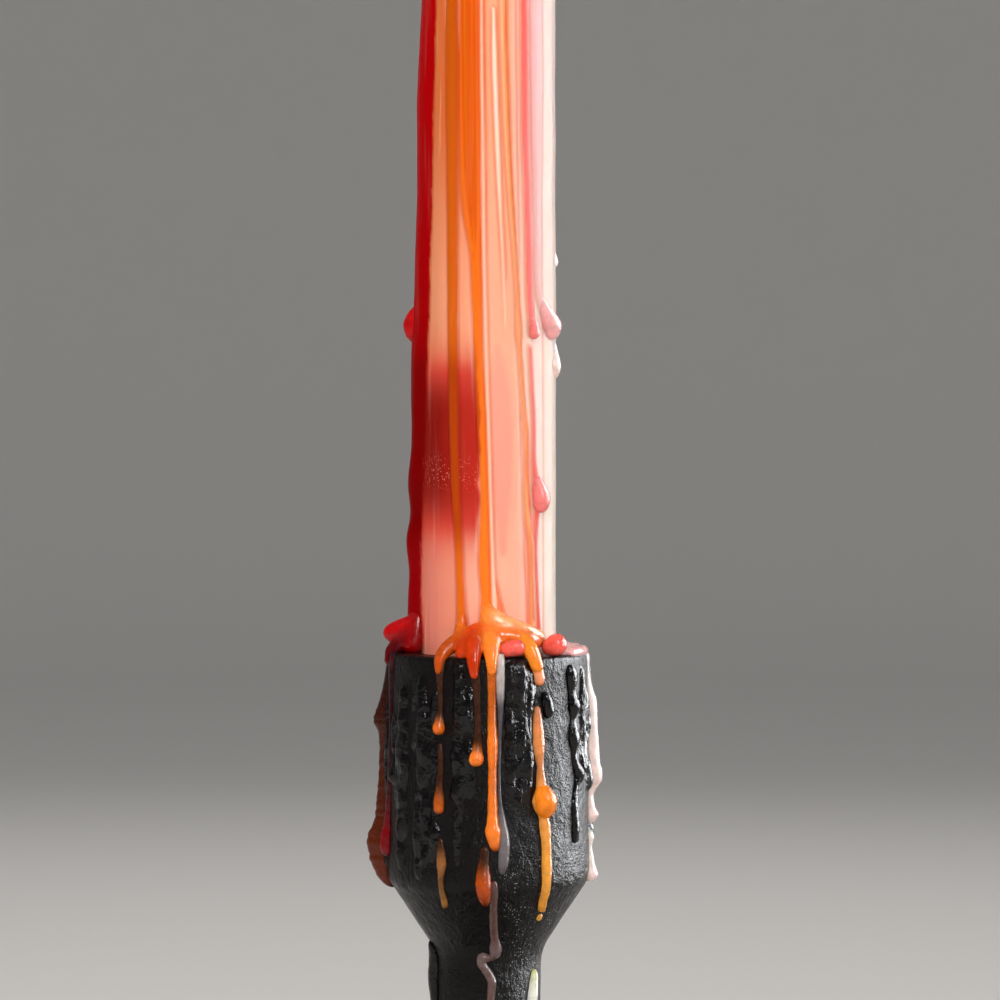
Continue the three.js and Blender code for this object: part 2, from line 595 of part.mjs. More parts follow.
function place(parent, name, geometry, material) {
  const mesh = new THREE.Mesh(geometry, material);
  mesh.name = name;
  parent.add(mesh);
  return mesh;
}

const candlestick = new THREE.Group();
place(candlestick, "cup_and_stem", cupAndStem(), materials.iron);
place(candlestick, "foot", foot(), materials.iron);
place(candlestick, "foot_screw", footScrew(), materials.steel);
place(candlestick, "foot_washer", footWasher(), materials.steel);
place(candlestick, "felt_pad", feltPad(), materials.felt);
group.add(candlestick);

const candle = new THREE.Group();
candle.position.x = CANDLE_OFFSET;
place(candle, "candle_body", candleBody(), materials.candle);
place(candle, "wick", wick(), materials.wick);
group.add(candle);

const drips = new THREE.Group();
for (const [name, [material, knots]] of Object.entries(candleRuns)) {
  place(drips, name, waxRun(candleSide, knots), materials[material]);
}
for (const [name, [material, knots]] of Object.entries(cupRuns)) {
  place(drips, name, waxRun(holderSide, knots), materials[material]);
}
for (const [name, [material, geometry]] of Object.entries(rimWax)) {
  place(drips, name, geometry, materials[material]);
}
group.add(drips);

export default group;
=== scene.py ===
import math

import bpy
import numpy as np
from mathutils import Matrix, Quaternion, Vector


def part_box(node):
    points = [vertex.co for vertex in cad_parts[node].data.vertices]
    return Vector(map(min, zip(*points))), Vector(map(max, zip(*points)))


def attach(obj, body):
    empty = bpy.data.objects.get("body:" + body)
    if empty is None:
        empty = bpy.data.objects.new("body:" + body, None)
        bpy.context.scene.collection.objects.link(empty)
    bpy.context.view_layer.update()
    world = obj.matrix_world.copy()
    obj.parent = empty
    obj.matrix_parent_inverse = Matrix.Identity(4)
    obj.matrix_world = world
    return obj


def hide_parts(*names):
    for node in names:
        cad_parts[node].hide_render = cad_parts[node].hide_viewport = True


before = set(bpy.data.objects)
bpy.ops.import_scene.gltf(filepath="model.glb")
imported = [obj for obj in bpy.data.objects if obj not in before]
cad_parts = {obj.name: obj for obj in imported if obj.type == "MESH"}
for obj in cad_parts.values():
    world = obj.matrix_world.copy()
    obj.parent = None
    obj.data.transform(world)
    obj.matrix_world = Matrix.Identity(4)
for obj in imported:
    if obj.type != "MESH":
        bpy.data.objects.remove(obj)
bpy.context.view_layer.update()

# ---------------------------------------------------------------- the candlestick's two castings
# Cup, taper and stem are one iron casting, and the round foot is another. Both are sand-cast and painted
# black, and a screw from below draws them together. An outline runs from the bottom, up the outside.

MM = 0.001
stem_foot_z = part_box("cup_and_stem")[0].z / MM
cup_radius, _, rim_z = (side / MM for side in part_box("cup_and_stem")[1])
foot_base_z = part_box("foot")[0].z / MM
foot_radius, _, foot_top_z = (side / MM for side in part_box("foot")[1])
shoulder_z = rim_z - 37.5
taper_end_z = rim_z - 53
socket_floor_z = rim_z - 24
CASTING_SIDES = 240
STEM_RADIUS = 8.8
SOCKET_RADIUS = 11.9


def drawn(start, *strokes):
    """Rows of [radius, height] in millimetres. A stroke is an end and a step, after two pulls if it bends."""
    rows = []
    for *pulls, end, step in strokes:
        count = max(3 if pulls else 1, round(math.dist(start, end) / step))
        t = np.arange(count)[:, None] / count
        points = [np.array(p, float) for p in (start, *pulls, end)]
        weights = [(1 - t) ** 3, 3 * t * (1 - t) ** 2, 3 * t**2 * (1 - t), t**3] if pulls else [1 - t, t]
        rows.append(sum(w * p for w, p in zip(weights, points)))
        start = end
    return np.concatenate([*rows, [start]])


def wire_object(name, points, edges=None, **fields):
    """A mesh of bare points and edges that a tree reads, with its named values on the points."""
    if edges is None:
        edges = [(i, i + 1) for i in range(len(points) - 1)]
    mesh = bpy.data.meshes.new(name)
    mesh.from_pydata(points, edges, [])
    for label, values in fields.items():
        kind = {"flow": "INT", "wax_colour": "FLOAT_VECTOR"}.get(label, "FLOAT")
        flat = np.array(values, np.int32 if kind == "INT" else np.float32).ravel()
        attribute = mesh.attributes.new(label, kind, "POINT")
        attribute.data.foreach_set("vector" if kind == "FLOAT_VECTOR" else "value", flat)
    return bpy.data.objects.new(name, mesh)


def outline_object(name, rows):
    return wire_object(name, [(r * MM, 0, z * MM) for r, z in rows])


cup_outline = outline_object("cup_outline", drawn(
    (0, stem_foot_z),
    [(STEM_RADIUS + 1.4, stem_foot_z), 2],
    [(STEM_RADIUS + 1.5, stem_foot_z + 0.4), (STEM_RADIUS + 0.2, stem_foot_z + 8), (STEM_RADIUS, 40), 0.6],
    [(STEM_RADIUS, taper_end_z), 0.5],
    [(STEM_RADIUS, taper_end_z + 3), (STEM_RADIUS + 0.6, taper_end_z + 4.4),
     (STEM_RADIUS + 1.9, taper_end_z + 6.2), 0.22],
    [(cup_radius - 1.2, shoulder_z - 1.8), 0.22],
    [(cup_radius - 0.3, shoulder_z - 0.7), (cup_radius, shoulder_z), (cup_radius, shoulder_z + 2), 0.22],
    [(cup_radius - 0.35, rim_z - 0.8), 0.26],
    [(cup_radius - 0.35, rim_z - 0.3), (cup_radius - 0.7, rim_z), (cup_radius - 1.2, rim_z), 0.12],
    [(SOCKET_RADIUS + 0.5, rim_z), 0.5],
    [(SOCKET_RADIUS + 0.2, rim_z), (SOCKET_RADIUS, rim_z - 0.2), (SOCKET_RADIUS, rim_z - 0.5), 0.2],
    [(SOCKET_RADIUS, socket_floor_z), 3],
    [(0, socket_floor_z), 4]))
foot_outline = outline_object("foot_outline", drawn(
    (0, foot_base_z),
    [(foot_radius - 0.8, foot_base_z), 6],
    [(foot_radius - 0.2, foot_base_z), (foot_radius, foot_base_z + 0.3),
     (foot_radius, foot_base_z + 0.9), 0.3],
    [(foot_radius, foot_base_z + 3.8), 0.4],
    [(foot_radius, foot_base_z + 4.6), (foot_radius - 0.5, foot_base_z + 5),
     (foot_radius - 1.5, foot_base_z + 5), 0.25],
    [(foot_radius - 20, foot_base_z + 7), (14.5, foot_top_z - 12), (11.5, foot_top_z - 4.5), 0.4],
    [(12.6, foot_top_z - 3.4), (12.6, foot_top_z - 1.4), (11.2, foot_top_z - 0.4), 0.25],
    [(10.7, foot_top_z), 0.3],
    [(0, foot_top_z), 3]))


class Field:
    """A node's output with plain arithmetic: each sign adds the Math node that it names."""

    def __init__(self, socket):
        self.socket = socket
        self.tree = socket.id_data

    def __add__(self, other):
        return maths("ADD", self, other)

    def __sub__(self, other):
        return maths("SUBTRACT", self, other)

    def __rsub__(self, other):
        return maths("SUBTRACT", other, self)

    def __mul__(self, other):
        return maths("MULTIPLY", self, other)

    def __truediv__(self, other):
        return maths("DIVIDE", self, other)

    def __rtruediv__(self, other):
        return maths("DIVIDE", other, self)

    __radd__ = __add__
    __rmul__ = __mul__


def pick(sockets, name):
    """The socket of that name that is in use: nodes with a data type keep one for each type."""
    if isinstance(name, int):
        return sockets[name]
    return next(socket for socket in sockets if socket.name == name and socket.enabled)


def feed(node, sockets):
    """Gives each socket its constant, or links the field that feeds it."""
    for name, value in sockets.items():
        socket = pick(node.inputs, name)
        if isinstance(value, Field):
            value.tree.links.new(value.socket, socket)
        else:
            socket.default_value = value


def put(tree, kind, sockets=None, out=0, **settings):
    """Adds a node and returns one of its outputs, or several where out lists them."""
    node = tree.nodes.new(kind)
    for name, value in settings.items():
        setattr(node, name, value)
    feed(node, sockets or {})
    if isinstance(out, tuple):
        return [Field(pick(node.outputs, name)) for name in out]
    return Field(pick(node.outputs, out))


def joined(kind, values, out=0, **settings):
    """Adds a node that works on fields, in the tree that they are in."""
    sockets = values if isinstance(values, dict) else dict(enumerate(values))
    tree = next(value.tree for value in sockets.values() if isinstance(value, Field))
    return put(tree, kind, sockets, out, **settings)


def maths(operation, *values):
    return joined("ShaderNodeMath", values, operation=operation)


def vectors(operation, *values):
    if operation == "SCALE":
        values = {0: values[0], "Scale": values[1]}
    out = "Value" if operation == "LENGTH" else "Vector"
    return joined("ShaderNodeVectorMath", values, out, operation=operation)


def remap(value, low, high, to_low=0.0, to_high=1.0, smooth=True):
    sockets = {"Value": value, "From Min": low, "From Max": high, "To Min": to_low, "To Max": to_high}
    steps = "SMOOTHSTEP" if smooth else "LINEAR"
    return joined("ShaderNodeMapRange", sockets, "Result", interpolation_type=steps)


def parts(vector):
    """The x, y and z of a vector."""
    return joined("ShaderNodeSeparateXYZ", [vector], (0, 1, 2))


def geometry_tree(name, sockets):
    """An empty tree with named inputs and one geometry out: the tree, its inputs and its output node."""
    tree = bpy.data.node_groups.new(name, "GeometryNodeTree")
    for label, kind in sockets.items():
        tree.interface.new_socket(label, in_out="INPUT", socket_type="NodeSocket" + kind)
    tree.interface.new_socket("Geometry", in_out="OUTPUT", socket_type="NodeSocketGeometry")
    inputs = tree.nodes.new("NodeGroupInput").outputs
    return tree, {label: Field(inputs[label]) for label in sockets}, tree.nodes.new("NodeGroupOutput")


def position(tree):
    return put(tree, "GeometryNodeInputPosition")


def object_geometry(socket):
    return joined("GeometryNodeObjectInfo", {"Object": socket}, "Geometry", transform_space="ORIGINAL")


def read(tree, name, kind="FLOAT"):
    return put(tree, "GeometryNodeInputNamedAttribute", {"Name": name}, "Attribute", data_type=kind)


def sample(geometry, value, index, kind="FLOAT"):
    sockets = {"Geometry": geometry, "Value": value, "Index": index}
    return joined("GeometryNodeSampleIndex", sockets, "Value", data_type=kind, clamp=True)


def store(geometry, name, value, kind="FLOAT"):
    sockets = {"Geometry": geometry, "Name": name, "Value": value}
    return joined("GeometryNodeStoreNamedAttribute", sockets, data_type=kind, domain="POINT")


def rows_of(geometry):
    return joined("GeometryNodeAttributeDomainSize", {"Geometry": geometry}, "Point Count", component="MESH")


def placed(geometry, **where):
    """Moves a geometry's points to a position, or by an offset."""
    sockets = {"Geometry": geometry, **{name.capitalize(): value for name, value in where.items()}}
    return joined("GeometryNodeSetPosition", sockets)


def along_normal(geometry, height):
    return placed(geometry, offset=vectors("SCALE", put(geometry.tree, "GeometryNodeInputNormal"), height))


def welded(geometry, distance):
    return joined("GeometryNodeMergeByDistance", {"Geometry": geometry, "Distance": distance})


def unit_tube(sides, rows):
    """A tube of radius 1 with a ring of points for each row, and its points' x, y and row number."""
    sockets = {"Vertices": sides, "Side Segments": rows - 1, "Radius": 1.0, "Depth": 1.0}
    tube = joined("GeometryNodeMeshCylinder", sockets, "Mesh", fill_type="NONE")
    x, y, z = parts(position(rows.tree))
    return tube, x, y, maths("ROUND", (z + 0.5) * (rows - 1))


def finished(geometry, material, output):
    smooth = joined("GeometryNodeSetShadeSmooth", {"Geometry": geometry})
    real = joined("GeometryNodeRealizeInstances", {"Geometry": smooth})
    feed(output, {"Geometry": joined("GeometryNodeSetMaterial", {"Geometry": real, "Material": material})})


def turned_tree():
    """Turns an outline about Z, and closes it where it meets the axis."""
    tree, given, out = geometry_tree("turned_body", {"Outline": "Object", "Sides": "Int"})
    outline = object_geometry(given["Outline"])
    tube, x, y, row = unit_tube(given["Sides"], rows_of(outline))
    radius, _, z = parts(sample(outline, position(tree), row, "FLOAT_VECTOR"))
    turned = joined("ShaderNodeCombineXYZ", {"X": x * radius, "Y": y * radius, "Z": z})
    feed(out, {"Geometry": welded(placed(tube, position=turned), 1e-6)})
    return tree


turned_body = turned_tree()


def turned(given):
    """The turned body of a tree's own Outline and Sides."""
    group = given["Outline"].tree.nodes.new("GeometryNodeGroup")
    group.node_tree = turned_body
    feed(group, {name: given[name] for name in ("Outline", "Sides")})
    return Field(group.outputs[0])


def noise(place, size, detail, seed):
    """4-D noise about zero: size is the width of its lumps in metres, and seed picks the pattern."""
    sockets = {"Vector": vectors("SCALE", place, 1.0 / size), "W": seed, "Scale": 1.0, "Detail": detail}
    return joined("ShaderNodeTexNoise", sockets, "Fac", noise_dimensions="4D") - 0.5


def casting_tree():
    """A turned body with the lumps and dimples of a sand mould."""
    tree, given, out = geometry_tree("sand_casting", {
        "Outline": "Object", "Sides": "Int", "Lump Size": "Float", "Lump Height": "Float",
        "Dimple Size": "Float", "Dimple Depth": "Float", "Seed": "Float", "Material": "Material",
    })
    lumps = noise(position(tree), given["Lump Size"], 1.0, given["Seed"]) * given["Lump Height"]
    dimples = noise(position(tree), given["Dimple Size"], 2.0, given["Seed"]) * given["Dimple Depth"]
    finished(along_normal(turned(given), lumps + dimples), given["Material"], out)
    return tree


def baked(name, tree, values):
    """Runs a tree on an empty object and keeps the result as a plain mesh object."""
    host = bpy.data.objects.new(name + "_host", bpy.data.meshes.new(name + "_host"))
    bpy.context.scene.collection.objects.link(host)
    modifier = host.modifiers.new(tree.name, "NODES")
    modifier.node_group = tree
    for item in tree.interface.items_tree:
        if item.in_out == "INPUT" and item.name in values:
            modifier[item.identifier] = values[item.name]
    evaluated = host.evaluated_get(bpy.context.evaluated_depsgraph_get())
    depsgraph = bpy.context.evaluated_depsgraph_get()
    mesh = bpy.data.meshes.new_from_object(evaluated, preserve_all_data_layers=True, depsgraph=depsgraph)
    bpy.data.objects.remove(host)
    mesh.name = name
    piece = bpy.data.objects.new(name, mesh)
    bpy.context.scene.collection.objects.link(piece)
    return piece


def fitted(piece, slot, *nodes):
    """Fixes a finished piece to the object's one body, in the place of its CAD nodes."""
    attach(piece, "root")
    if nodes:
        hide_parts(*nodes)


def paint(red, green, blue):
    """A colour from 0 to 255 as the eye names it, for a shader."""
    shares = [c / 255 for c in (red, green, blue)]
    return (*[c / 12.92 if c <= 0.04045 else ((c + 0.055) / 1.055) ** 2.4 for c in shares], 1.0)


def grain(place, size, detail=2.0, roughness=0.5, distortion=0.0):
    """Noise for a shader: size is the width of its lumps in metres."""
    sockets = {"Vector": place, "Scale": 1.0 / size, "Detail": detail, "Roughness": roughness}
    return joined("ShaderNodeTexNoise", {**sockets, "Distortion": distortion}, "Fac")


def stretched(place, scale, rotation=(0, 0, 0)):
    return joined("ShaderNodeMapping", {"Vector": place, "Rotation": rotation, "Scale": scale})


def blend(share, first, second, mode="MIX"):
    """Goes from the first colour to the second."""
    tree = next(value.tree for value in (share, first, second) if isinstance(value, Field))
    node = tree.nodes.new("ShaderNodeMix")
    node.data_type = "RGBA"
    node.blend_type = mode
    feed(node, dict(zip([i for i, s in enumerate(node.inputs) if s.enabled], (share, first, second))))
    return Field(pick(node.outputs, "Result"))


def cells(place, size):
    """Round cells: the distance from each one's middle, and a chance number of its own."""
    sockets = {"Vector": place, "Scale": 1.0 / size}
    distance, colour = joined("ShaderNodeTexVoronoi", sockets, ("Distance", "Color"))
    return distance, joined("ShaderNodeSeparateColor", {"Color": colour}, "Red")


def bump(height, distance, strength=1.0):
    return joined("ShaderNodeBump", {"Height": height, "Distance": distance, "Strength": strength})


def new_material(name):
    """Returns a material, its surface shader and the place on the object."""
    material = bpy.data.materials.new(name)
    material.use_nodes = True
    tree = material.node_tree
    return material, tree.nodes["Principled BSDF"], put(tree, "ShaderNodeTexCoord", out="Object")


def sand_grain_group():
    """The pits and grains of a sand mould, as a height, and a mask of the few that broke the paint."""
    tree = bpy.data.node_groups.new("sand_grain", "ShaderNodeTree")
    for label, way in {"Grain": "INPUT", "Pits": "INPUT", "Height": "OUTPUT", "Specks": "OUTPUT"}.items():
        tree.interface.new_socket(label, in_out=way, socket_type="NodeSocketFloat")
    given = {socket.name: Field(socket) for socket in tree.nodes.new("NodeGroupInput").outputs[:2]}
    place = put(tree, "ShaderNodeTexCoord", out="Object")
    distance, chance = cells(place, given["Grain"])
    pits = remap(grain(place, given["Pits"], 3.0, 0.7), 0.35, 0.6)
    height = remap(distance, 0.0, 0.55, 1.0, 0.0) * 0.45 + pits * 0.6
    feed(tree.nodes.new("NodeGroupOutput"), {
        "Height": grain(place, 0.00012) * 0.25 + height,
        "Specks": maths("GREATER_THAN", chance, 0.8) * remap(distance, 0.42, 0.2),
    })
    return tree


sand_grain = sand_grain_group()


def iron_material():
    """Thick black paint on cast iron: crumpled as it dried, wrinkled above the taper, and bare low down."""
    material, surface, here = new_material("black_painted_iron")
    group = here.tree.nodes.new("ShaderNodeGroup")
    group.node_tree = sand_grain
    feed(group, {"Grain": 0.00034, "Pits": 0.0013})
    x, _, z = parts(here)
    black = blend(remap(grain(here, 0.009, 4.0), 0.35, 0.7), paint(7, 3, 2), paint(11, 9, 9))
    gritty = remap(z, (rim_z - 26) * MM, (rim_z - 40) * MM) * remap(grain(here, 0.003, 3.0), 0.42, 0.58)
    # Only the specks towards +X, on the right-hand side, are kept, as painted light: real grit that shows
    # only where the light falls.
    lit_side_specks = Field(group.outputs["Specks"]) * (gritty * remap(x, 0.0, 6 * MM))
    crumple = grain(stretched(here, (1, 1, 0.4)), 0.0016, 3.0, 0.55, 0.9)
    # Wrinkles in the paint, level rings that fade in at the foot of the cup's straight wall.
    wrinkles = grain(stretched(here, (0.35, 0.35, 1)), 0.0011, 2.0, 0.6, 0.4)
    low = remap(z, (shoulder_z - 6) * MM, (shoulder_z + 2) * MM)
    high = remap(z, (shoulder_z + 9) * MM, (shoulder_z + 3) * MM)
    band = low * high * remap(x, 0.006, 0.012)
    height = crumple * 3.6 + (wrinkles * band * 2.4 + Field(group.outputs["Height"]))
    feed(surface, {
        "Base Color": blend(lit_side_specks, black, paint(168, 164, 152)),
        "Roughness": remap(grain(here, 0.0022, 4.0), 0.3, 0.7, 0.27, 0.44),
        "Specular IOR Level": 0.2,
        "Normal": bump(height, 0.00009),
    })
    return material


iron = iron_material()
sand_casting = casting_tree()
CASTINGS = {
    "candlestick_cup": ("cup_and_stem", cup_outline),
    "candlestick_foot": ("foot", foot_outline),
}
for seed, (name, (node, outline)) in enumerate(CASTINGS.items()):
    casting = baked(name, sand_casting, {
        "Outline": outline, "Sides": CASTING_SIDES, "Lump Size": 6 * MM, "Lump Height": 0.25 * MM,
        "Dimple Size": 1.4 * MM, "Dimple Depth": 0.05 * MM, "Seed": 3.0 + seed, "Material": iron,
    })
    fitted(casting, "iron", node)

# ---------------------------------------------------------------- under the foot
# A socket-head screw and its washer, bright zinc steel, in the foot's counterbore, and a green felt pad glued
# over them so that the iron doesn't scratch the table.


def steel_material():
    """Zinc steel with fine scratches round it."""
    material, surface, here = new_material("zinc_steel")
    streaks = grain(stretched(here, (1, 1, 14)), 0.0015, 4.0)
    feed(surface, {
        "Base Color": blend(streaks, paint(150, 150, 152), paint(190, 190, 188)),
        "Roughness": remap(streaks, 0.3, 0.7, 0.28, 0.45),
        "Metallic": 1.0,
    })
    return material


def felt_material():
    """Pressed wool: a mat of crossing fibres, with paler ones on top."""
    material, surface, here = new_material("green_felt")
    strands = [grain(stretched(here, (1, 9, 1), (0, 0, angle)), 0.0016) for angle in (0.3, 1.4, 2.4)]
    mat = maths("MAXIMUM", maths("MAXIMUM", strands[0], strands[1]), strands[2])
    feed(surface, {
        "Base Color": blend(remap(mat, 0.45, 0.75), paint(30, 44, 36), paint(62, 82, 68)),
        "Roughness": 0.95,
        "Sheen Weight": 0.4,
        "Normal": bump(mat, 0.0002),
    })
    return material


zinc_steel = steel_material()
small_parts = {"foot_screw": zinc_steel, "foot_washer": zinc_steel, "felt_pad": felt_material()}
for node, material in small_parts.items():
    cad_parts[node].data.materials.clear()
    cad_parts[node].data.materials.append(material)

# ---------------------------------------------------------------- the candle and the wax that ran down it
# A pulled taper candle of coloured paraffin, dyed through in soft fields, which are also darkened on its left
# side as painted shade.
# The runs froze onto it and are one skin with it. Each is a line on the side: [turn, height above the rim,
# half width, thickness] from the top.

candle_low, candle_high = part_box("candle_body")
candle_axis = (candle_low.x + candle_high.x) / 2 / MM
candle_foot_radius = (candle_high.x - candle_low.x) / 2 / MM
candle_top = candle_high.z / MM
CANDLE_TOP_RADIUS = 10.55
CANDLE_SIDES = 300
CRATER_DEPTH = 5
WICK_BORE = 1.2
lip = candle_top - rim_z - 1.4

RED = paint(178, 0, 4)
DEEP_RED = paint(132, 0, 4)
ORANGE = paint(248, 130, 40)
HOT_ORANGE = paint(226, 98, 8)
AMBER = paint(218, 104, 18)
PEACH = paint(250, 184, 158)
APRICOT = paint(247, 168, 126)
CORAL = paint(238, 96, 82)
PINK = paint(244, 132, 128)
PALE_PINK = paint(246, 180, 178)
SHELL = paint(244, 212, 204)
CREAM = paint(244, 228, 212)

candle_flows = {
    "apricot_sheet": (APRICOT, PEACH, [
        [8, lip, 2.6, 0.25], [8.6, 108, 2.9, 0.35], [10, 88, 2.9, 0.45], [12, 68, 2.9, 0.5],
        [12, 50, 3, 0.5], [15, 28, 3, 0.5], [20, 8, 3, 0.5], [21, 3, 3, 0.5]]),
    "cream_run": (SHELL, CREAM, [
        [78, lip, 4.4, 0.3], [78, 75, 4.4, 0.4], [79, 52, 4.4, 0.45], [80, 30, 4.4, 0.4],
        [80, 3, 4.4, 0.35]]),
    "salmon_sheet": (paint(249, 168, 146), paint(249, 162, 142), [
        [8, 51, 0.8, 0.1], [10, 45, 2.2, 0.2], [12, 36, 2.6, 0.25], [12, 26, 2.3, 0.25], [13, 17, 1, 0.1]]),
    "red_run": (RED, DEEP_RED, [
        [-84, lip, 5.6, 0.4], [-84, 107, 5.6, 0.5], [-84, 92, 5.2, 1.2], [-84.5, 84, 5.1, 1.05],
        [-85, 75, 5.1, 1.1], [-86, 65, 4.9, 1.3], [-86, 58, 4.7, 1.5], [-87, 50, 4.5, 1.8],
        [-88, 42, 4, 1.85], [-88.6, 34, 3.5, 1.75], [-89, 28, 3.3, 2.3], [-89.6, 23, 3, 1.9],
        [-90, 18.5, 3, 2.55], [-90, 13, 2.8, 2], [-89, 8.6, 2.8, 2.2], [-85, 3, 3.2, 2.3]]),
    "amber_run": (paint(184, 78, 6), paint(226, 110, 26), [
        [-35, lip, 1.2, 0.3], [-34.2, 98, 1.2, 0.4], [-33, 75, 1.15, 0.45], [-31.8, 55, 1.1, 0.45],
        [-30.6, 40, 1, 0.45], [-28.6, 28.6, 0.9, 0.45], [-25, 18, 0.8, 0.45], [-22.8, 8.6, 0.85, 0.5],
        [-21.6, 3, 1.2, 0.7]]),
    "orange_run": (HOT_ORANGE, ORANGE, [
        [-18.8, lip, 1.5, 0.35], [-16.8, 92, 1.85, 0.45], [-15, 75, 1.8, 0.5], [-10.8, 66.7, 1.2, 0.6],
        [-9.2, 58.4, 1, 0.7], [-8.1, 50, 0.92, 0.75], [-5.8, 41.8, 0.95, 0.8], [-2.6, 33.5, 1.05, 0.85],
        [-1.1, 25, 1.1, 0.9], [-1.3, 15.3, 1.3, 1], [2.2, 10, 1.6, 1.1], [5, 5, 2.3, 1.2],
        [6, 3, 2.6, 1.2]]),
    "orange_strand": (AMBER, AMBER, [
        [-21.8, lip, 0.4, 0.45], [-19.8, 92, 0.45, 0.55], [-17.2, 78, 0.35, 0.5], [-14, 71, 0.2, 0.3],
        [-11.4, 64, 0.06, 0.05]]),
    "orange_strand_right": (paint(232, 112, 30), AMBER, [
        [-16.2, lip, 0.3, 0.35], [-13.8, 92, 0.35, 0.5], [-12.4, 78, 0.3, 0.45], [-11.2, 71, 0.18, 0.3],
        [-9.8, 63, 0.06, 0.05]]),
    # A pale line along the orange run's right edge: a painted highlight on a low ridge of wax.
    "orange_run_ridge": (PEACH, paint(252, 204, 176), [
        [-7.4, lip, 0.35, 0.25], [-6, 100, 0.4, 0.45], [-4.4, 80, 0.42, 0.55], [-3.4, 66, 0.42, 0.6],
        [-1.6, 52, 0.42, 0.65], [1, 36, 0.42, 0.7], [3.8, 18, 0.42, 0.75], [6.4, 5, 0.6, 0.7]]),
    # A near-white line along a crease between runs: a painted highlight on a thin ridge of wax. The darker
    # line beside it is a painted shadow.
    "crease_run": (paint(252, 226, 208), paint(252, 206, 182), [
        [4, 106, 0.35, 0.3], [4.8, 98.4, 0.5, 0.55], [5.9, 91.6, 0.5, 0.6], [8, 81.8, 0.5, 0.55],
        [10.4, 72, 0.4, 0.4], [13, 62, 0.3, 0.25], [15, 53, 0.08, 0.05]]),
    "crease_shadow": (paint(226, 132, 92), paint(236, 150, 112), [
        [6.6, 106, 0.2, 0.05], [7.8, 98.4, 0.3, 0.05], [8.9, 91.6, 0.3, 0.05], [11, 81.8, 0.3, 0.05],
        [13.4, 72, 0.25, 0.05], [16, 62, 0.2, 0.05]]),
    "orange_thread": (paint(252, 194, 148), paint(248, 164, 104), [
        [10.8, lip, 0.6, 0.3], [11.6, 108, 0.6, 0.35], [15, 88, 0.6, 0.4], [19, 75, 0.55, 0.4],
        [22.4, 67, 0.5, 0.45], [25.4, 59.5, 0.5, 0.5], [26.6, 55.6, 0.6, 0.7], [27.2, 52.8, 0.68, 0.9],
        [27.8, 50.8, 0.5, 0.5], [29, 47, 0.45, 0.45], [31, 42, 0.45, 0.5], [34.4, 36, 0.48, 0.5],
        [35.4, 31, 0.5, 0.5], [34.6, 26.8, 0.55, 0.6], [36, 22.4, 0.5, 0.5], [39.6, 18, 0.5, 0.5],
        [41, 8, 0.55, 0.5], [41.4, 3, 0.8, 0.6]]),
    "thread_edge": (paint(236, 128, 48), paint(238, 120, 44), [
        [13.6, lip, 0.24, 0.4], [14.4, 108, 0.26, 0.45], [17.6, 88, 0.26, 0.5], [21.4, 75, 0.26, 0.5],
        [24.6, 67, 0.24, 0.5], [27.2, 59.5, 0.24, 0.5], [29.6, 50.8, 0.22, 0.5], [33, 42, 0.22, 0.5],
        [36.6, 36, 0.24, 0.5], [36.8, 28, 0.24, 0.5], [41.2, 18, 0.24, 0.5], [42.8, 6, 0.24, 0.5]]),
    "pink_run": (CORAL, PINK, [
        [32.4, lip, 0.8, 0.35], [33, 108, 0.85, 0.4], [34.2, 86, 0.85, 0.45], [36, 78, 0.85, 0.45],
        [37.2, 70, 0.85, 0.5], [38.6, 60, 0.85, 0.6], [40, 55.6, 0.75, 0.6], [41, 53, 0.7, 0.6]]),
    "pink_run_lower": (PINK, CORAL, [
        [39.6, 50.6, 0.5, 0.35], [40.6, 46, 0.5, 0.4], [43, 39.5, 0.5, 0.4], [43.2, 32, 0.6, 0.5],
        [45.6, 28.8, 0.8, 0.7], [48, 26, 0.9, 0.7], [46.4, 22.6, 0.7, 0.6], [45.2, 18.5, 0.55, 0.45],
        [46.4, 12, 0.5, 0.45], [48.6, 6, 0.55, 0.5], [49.4, 3, 0.8, 0.7]]),
    "pale_pink_run": (paint(247, 196, 196), paint(246, 188, 186), [
        [46, lip, 1.6, 0.3], [46.6, 108, 1.6, 0.35], [47.6, 88, 1.5, 0.4], [48, 68, 1.1, 0.4],
        [49, 60.5, 0.9, 0.5], [53, 57.6, 0.9, 0.6], [60, 55.4, 0.9, 0.5]]),
    "amber_run_back": (ORANGE, AMBER, [
        [122, lip, 0.8, 0.4], [124, 72, 0.85, 0.5], [126, 32, 0.9, 0.6], [126, 26, 1.4, 1.5],
        [126, 23.6, 1.1, 1.2]]),
    "pink_run_back": (PINK, CORAL, [
        [146, lip, 1.2, 0.4], [150, 82, 1.1, 0.6], [151, 40, 1.1, 0.8], [151, 34, 1.3, 1.2],
        [151, 30, 1.1, 0.8], [150, 3, 1.6, 1.1]]),
    "cream_run_back": (CREAM, SHELL, [
        [178, lip, 1.6, 0.4], [177, 92, 1.6, 0.6], [179, 67, 1.5, 0.8], [179, 60, 2, 1.7],
        [179, 57.2, 1.5, 1.2]]),
    "orange_run_back": (HOT_ORANGE, ORANGE, [
        [-157, lip, 1.2, 0.4], [-154, 82, 1.1, 0.7], [-155, 42, 1.2, 0.9], [-156, 3, 1.8, 1.2]]),
    "coral_run_back": (CORAL, RED, [
        [-128, lip, 1.3, 0.4], [-127, 82, 1.2, 0.7], [-129, 38, 1.3, 0.9], [-129, 31, 1.9, 1.8],
        [-129, 28, 1.4, 1.3]]),
}


